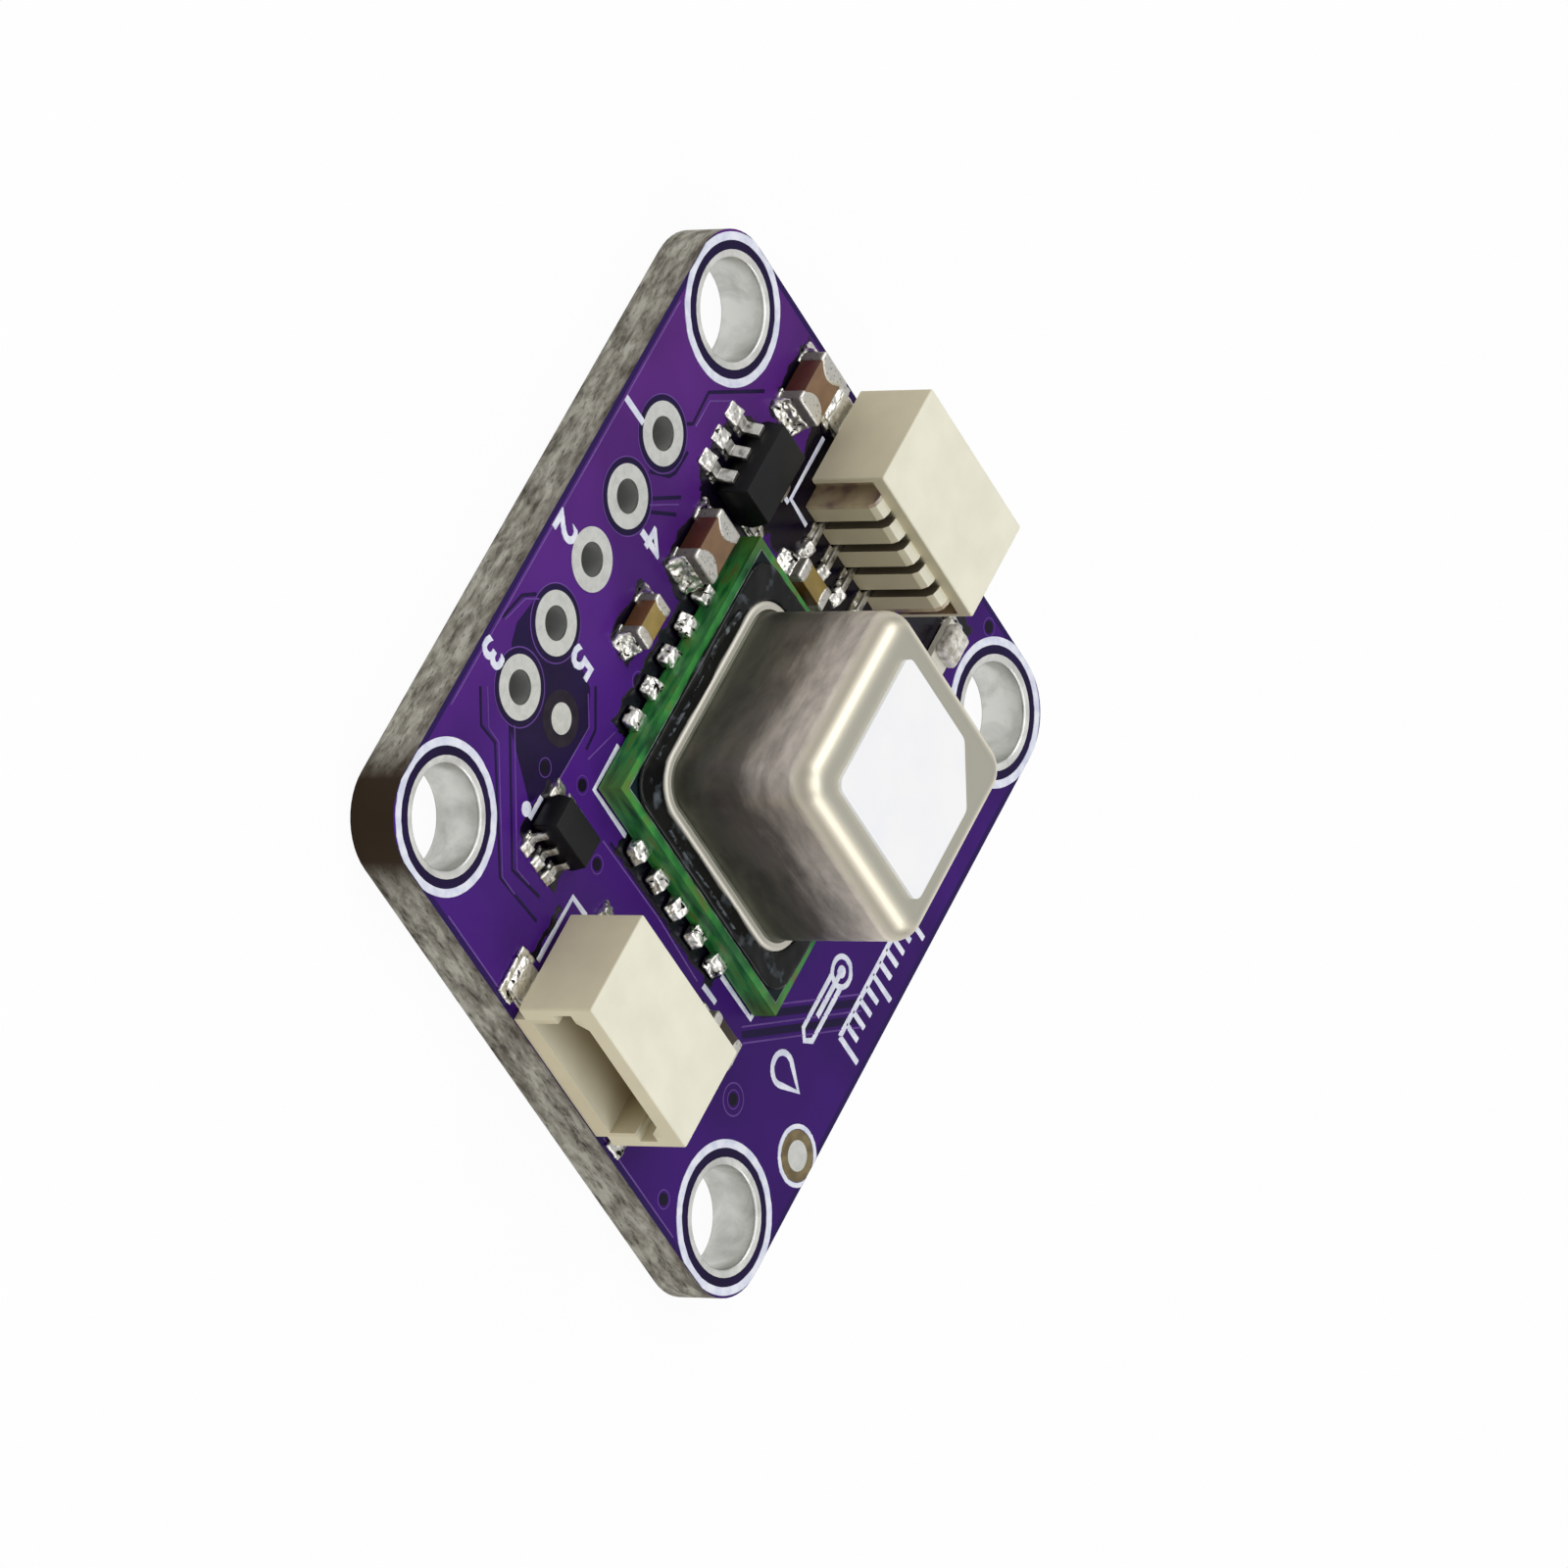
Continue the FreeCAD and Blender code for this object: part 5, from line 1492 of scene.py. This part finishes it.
@dataclass
class ShadedCapacitor:
    """The small chip part that shows only past the roof of socket 1."""

    low: tuple[float, float, float] = (6.35, 3.84, 1.66)
    high: tuple[float, float, float] = (7.15, 5.44, 2.36)
    skin: float = 0.03
    rounding: float = 0.04
    solder_reach: float = 0.3
    solder_cover: float = 0.2
    solder_rise: float = 0.35
    size: ChipSize = SHADED_CHIP

    def build(self) -> None:
        """Builds the ceramic, the plated ends and a mound of solder at each end."""
        low, high = Vector(self.low), Vector(self.high)
        skin = Vector((self.skin,) * 3)
        core = bench_block(low + skin, high - skin)
        round_edges(core, self.rounding)
        finish(core, "shaded_chip_ceramic", self.size.ceramic)
        ends = self.size.ends(low, high, Axis.Y)
        finish(ends, "shaded_chip_plated_ends", PLATE, smooth=ALL_SMOOTH)
        mounds = []
        for end, outwards in ((low.y, -1), (high.y, 1)):
            far, near = end + outwards * self.solder_reach, end - outwards * self.solder_cover
            mounds.append(bench_block((low.x, near, BOARD_TOP), (high.x, far, low.z + self.solder_rise)))
        joint = Melt(0.02, 0.035, self.size.lump, 0.4, 14).flow(bench_join(mounds))
        finish(joint, "shaded_chip_joints", SOLDER, smooth=ALL_SMOOTH)


@dataclass
class IndicatorLamp:
    """The half hidden lamp: a milky lens over two joints; its carrier stays the CAD's."""

    lens: Melt = Melt(0.05, 0.035, 0.1, 0.4, 40)
    joint: Melt = Melt(0.08, 0.035, 0.14, 0.4, 14)

    def build(self) -> None:
        """Builds the lens and the joints."""
        self.lens.recast("indicator_lamp_lens", "lamp_lens", "lamp_lens", LAMP_RESIN)
        self.joint.recast("indicator_lamp_solder", "lamp_joints", "solder", SOLDER)


@dataclass
class WireSocket:
    """A wire socket's metal: bent contacts, hold down tabs and the solder round them."""

    number: int
    end: BoardEnd
    land_low: Point = (10.6, 3.12)
    land_high: Point = (12.32, 3.8)
    land_rise: float = 0.12
    rounding: float = 0.03
    tab: Melt = Melt(0.05, 0.04, 0.1, 0.7, 18)
    joint: Melt = Melt(0.08, 0.035, 0.14, 0.3, 20)
    flood: Melt = Melt(0.02, 0.035, 0.12, 0.3, 8)

    def build(self) -> None:
        """Builds the metal; the moulded housing stays the CAD's."""
        name = f"socket_{self.number}"
        soften(f"{name}_contacts", f"{name}_blades", LEAD, self.rounding)
        self.tab.recast(f"{name}_hold_down_tabs", f"{name}_tabs", "tinned_lead", PLATE)
        self.joint.recast(f"{name}_solder", f"{name}_joints", "solder", SOLDER)
        lands = self.flood.flow(bench_join([self.land(side) for side in (-1, 1)]))
        finish(lands, f"{name}_lands", SOLDER, smooth=ALL_SMOOTH)

    def land(self, side: int) -> Piece:
        """Covers the copper beside one hold down tab, out to the board's edge."""
        (x_from, y_from), (x_to, y_to), way = self.land_low, self.land_high, self.end.value
        return bench_block((way * x_from, side * y_from, BOARD_TOP),
                           (way * x_to, side * y_to, BOARD_TOP + self.land_rise))


@dataclass
class Studio:
    """Floor, lamps, world and the camera at the photographed angle."""

    eye_mm: tuple[float, float, float] = (192.543, -211.653, 220.380)
    right: tuple[float, float, float] = (-0.40449, 0.44821, 0.79718)
    down: tuple[float, float, float] = (0.74161, 0.67083, -0.00088)
    lens_mm: float = 278.1
    sensor_mm: float = 36.0
    floor_size: float = 6.0
    floor_gap: float = 0.00002
    world_light: float = 0.47
    lamps: list[tuple[str, Vector, float, float]] = field(default_factory=lambda: [
        ("left_bank", Vector((-0.347, -0.320, 0.447)), 0.3, 0.8),
        ("rear_bank", Vector((0.327, 0.384, 0.411)), 0.3, 0.62),
        ("overhead", Vector((0.117, -0.098, 0.63)), 0.62, 1.3)])

    def build(self) -> None:
        """Builds the floor, the lamps, the world and the camera."""
        self.floor()
        self.lights()
        self.world()
        self.camera()

    def floor(self) -> None:
        """Lays the paper that the board lies on."""
        clear_selection()
        height = CAD_BOX[0][2] - self.floor_gap
        bpy.ops.mesh.primitive_plane_add(size=self.floor_size, location=(0, 0, height))
        sheet = bpy.context.object
        sheet.name = "studio_floor"
        sheet.data.materials.append(PaperFloor().material())

    def lights(self) -> None:
        """Hangs square soft boxes that face the board."""
        for name, place, size, power in self.lamps:
            light = bpy.data.lights.new(name, "AREA")
            light.size = size
            light.energy = power
            lamp = bpy.data.objects.new(name, light)
            lamp.location = place
            lamp.rotation_euler = (-place).to_track_quat("-Z", "Y").to_euler()
            bpy.context.scene.collection.objects.link(lamp)

    def world(self) -> None:
        """Sets an even world that the camera sees as white."""
        world = bpy.data.worlds.new("studio_world")
        bpy.context.scene.world = world
        add = partial(add_node, Finish.empty_tree(world))
        seen = add("LightPath").outputs["Is Camera Ray"]
        strength = add("MapRange", seen, 0.0, 1.0, self.world_light, 1.0)
        add("OutputWorld", add("Background", "#ffffff", strength))

    def camera(self) -> None:
        """Places the camera that the photograph was solved for."""
        lens = bpy.data.cameras.new("product_camera")
        lens.sensor_fit = "HORIZONTAL"
        lens.sensor_width = self.sensor_mm
        lens.lens = self.lens_mm
        lens.clip_start = 0.01
        lens.clip_end = 20
        camera = bpy.data.objects.new("product_camera", lens)
        right, up = Vector(self.right).normalized(), -Vector(self.down).normalized()
        back = right.cross(up).normalized()
        turn = Matrix((right, up, back)).transposed()
        camera.matrix_world = Matrix.Translation(Vector(self.eye_mm) * MM) @ turn.to_4x4()
        scene = bpy.context.scene
        scene.collection.objects.link(camera)
        scene.camera = camera
        scene.view_settings.view_transform = "Standard"


def main() -> None:
    """Dresses the frame and builds each sub-assembly in order."""
    logging.basicConfig(level=logging.INFO, format="%(name)s %(message)s")
    for worn, *nodes in ((MASKED_BOARD, "circuit_board"), (PAD_TIN, "header_hole_pads", "fiducial_pads"),
                         (GreenLaminate(), "sensor_substrate"), (DrawnNickelSilver(), "sensor_can"),
                         (MEMBRANE, "sensor_membrane"), (INNER, "infrared_emitter", "microphone_capsule"),
                         (EPOXY, "sensor_controller_chip", "humidity_temperature_chip"),
                         (LAMP_WHITE, "indicator_lamp_base"),
                         (SocketNylon(), "socket_1_housing", "socket_2_housing")):
        for node in nodes:
            dress(node, worn)
    for assembly in (HoleRims(), BoardPrint(), CopperTracks(), Fiducials(), FluxStains(), GasSensor(),
                     SolderedChip("regulator"), SolderedChip("level_shifter"),
                     ChipCapacitor(1, LARGE_CHIP), ChipCapacitor(2, LARGE_CHIP),
                     ChipCapacitor(3, SMALL_CHIP), ChipCapacitor(4, SMALL_CHIP, Axis.Y),
                     ShadedCapacitor(), IndicatorLamp(), WireSocket(1, BoardEnd.RIGHT),
                     WireSocket(2, BoardEnd.LEFT), Studio()):
        assembly.build()


if __name__ == "__main__":
    main()
    bpy.context.view_layer.update()
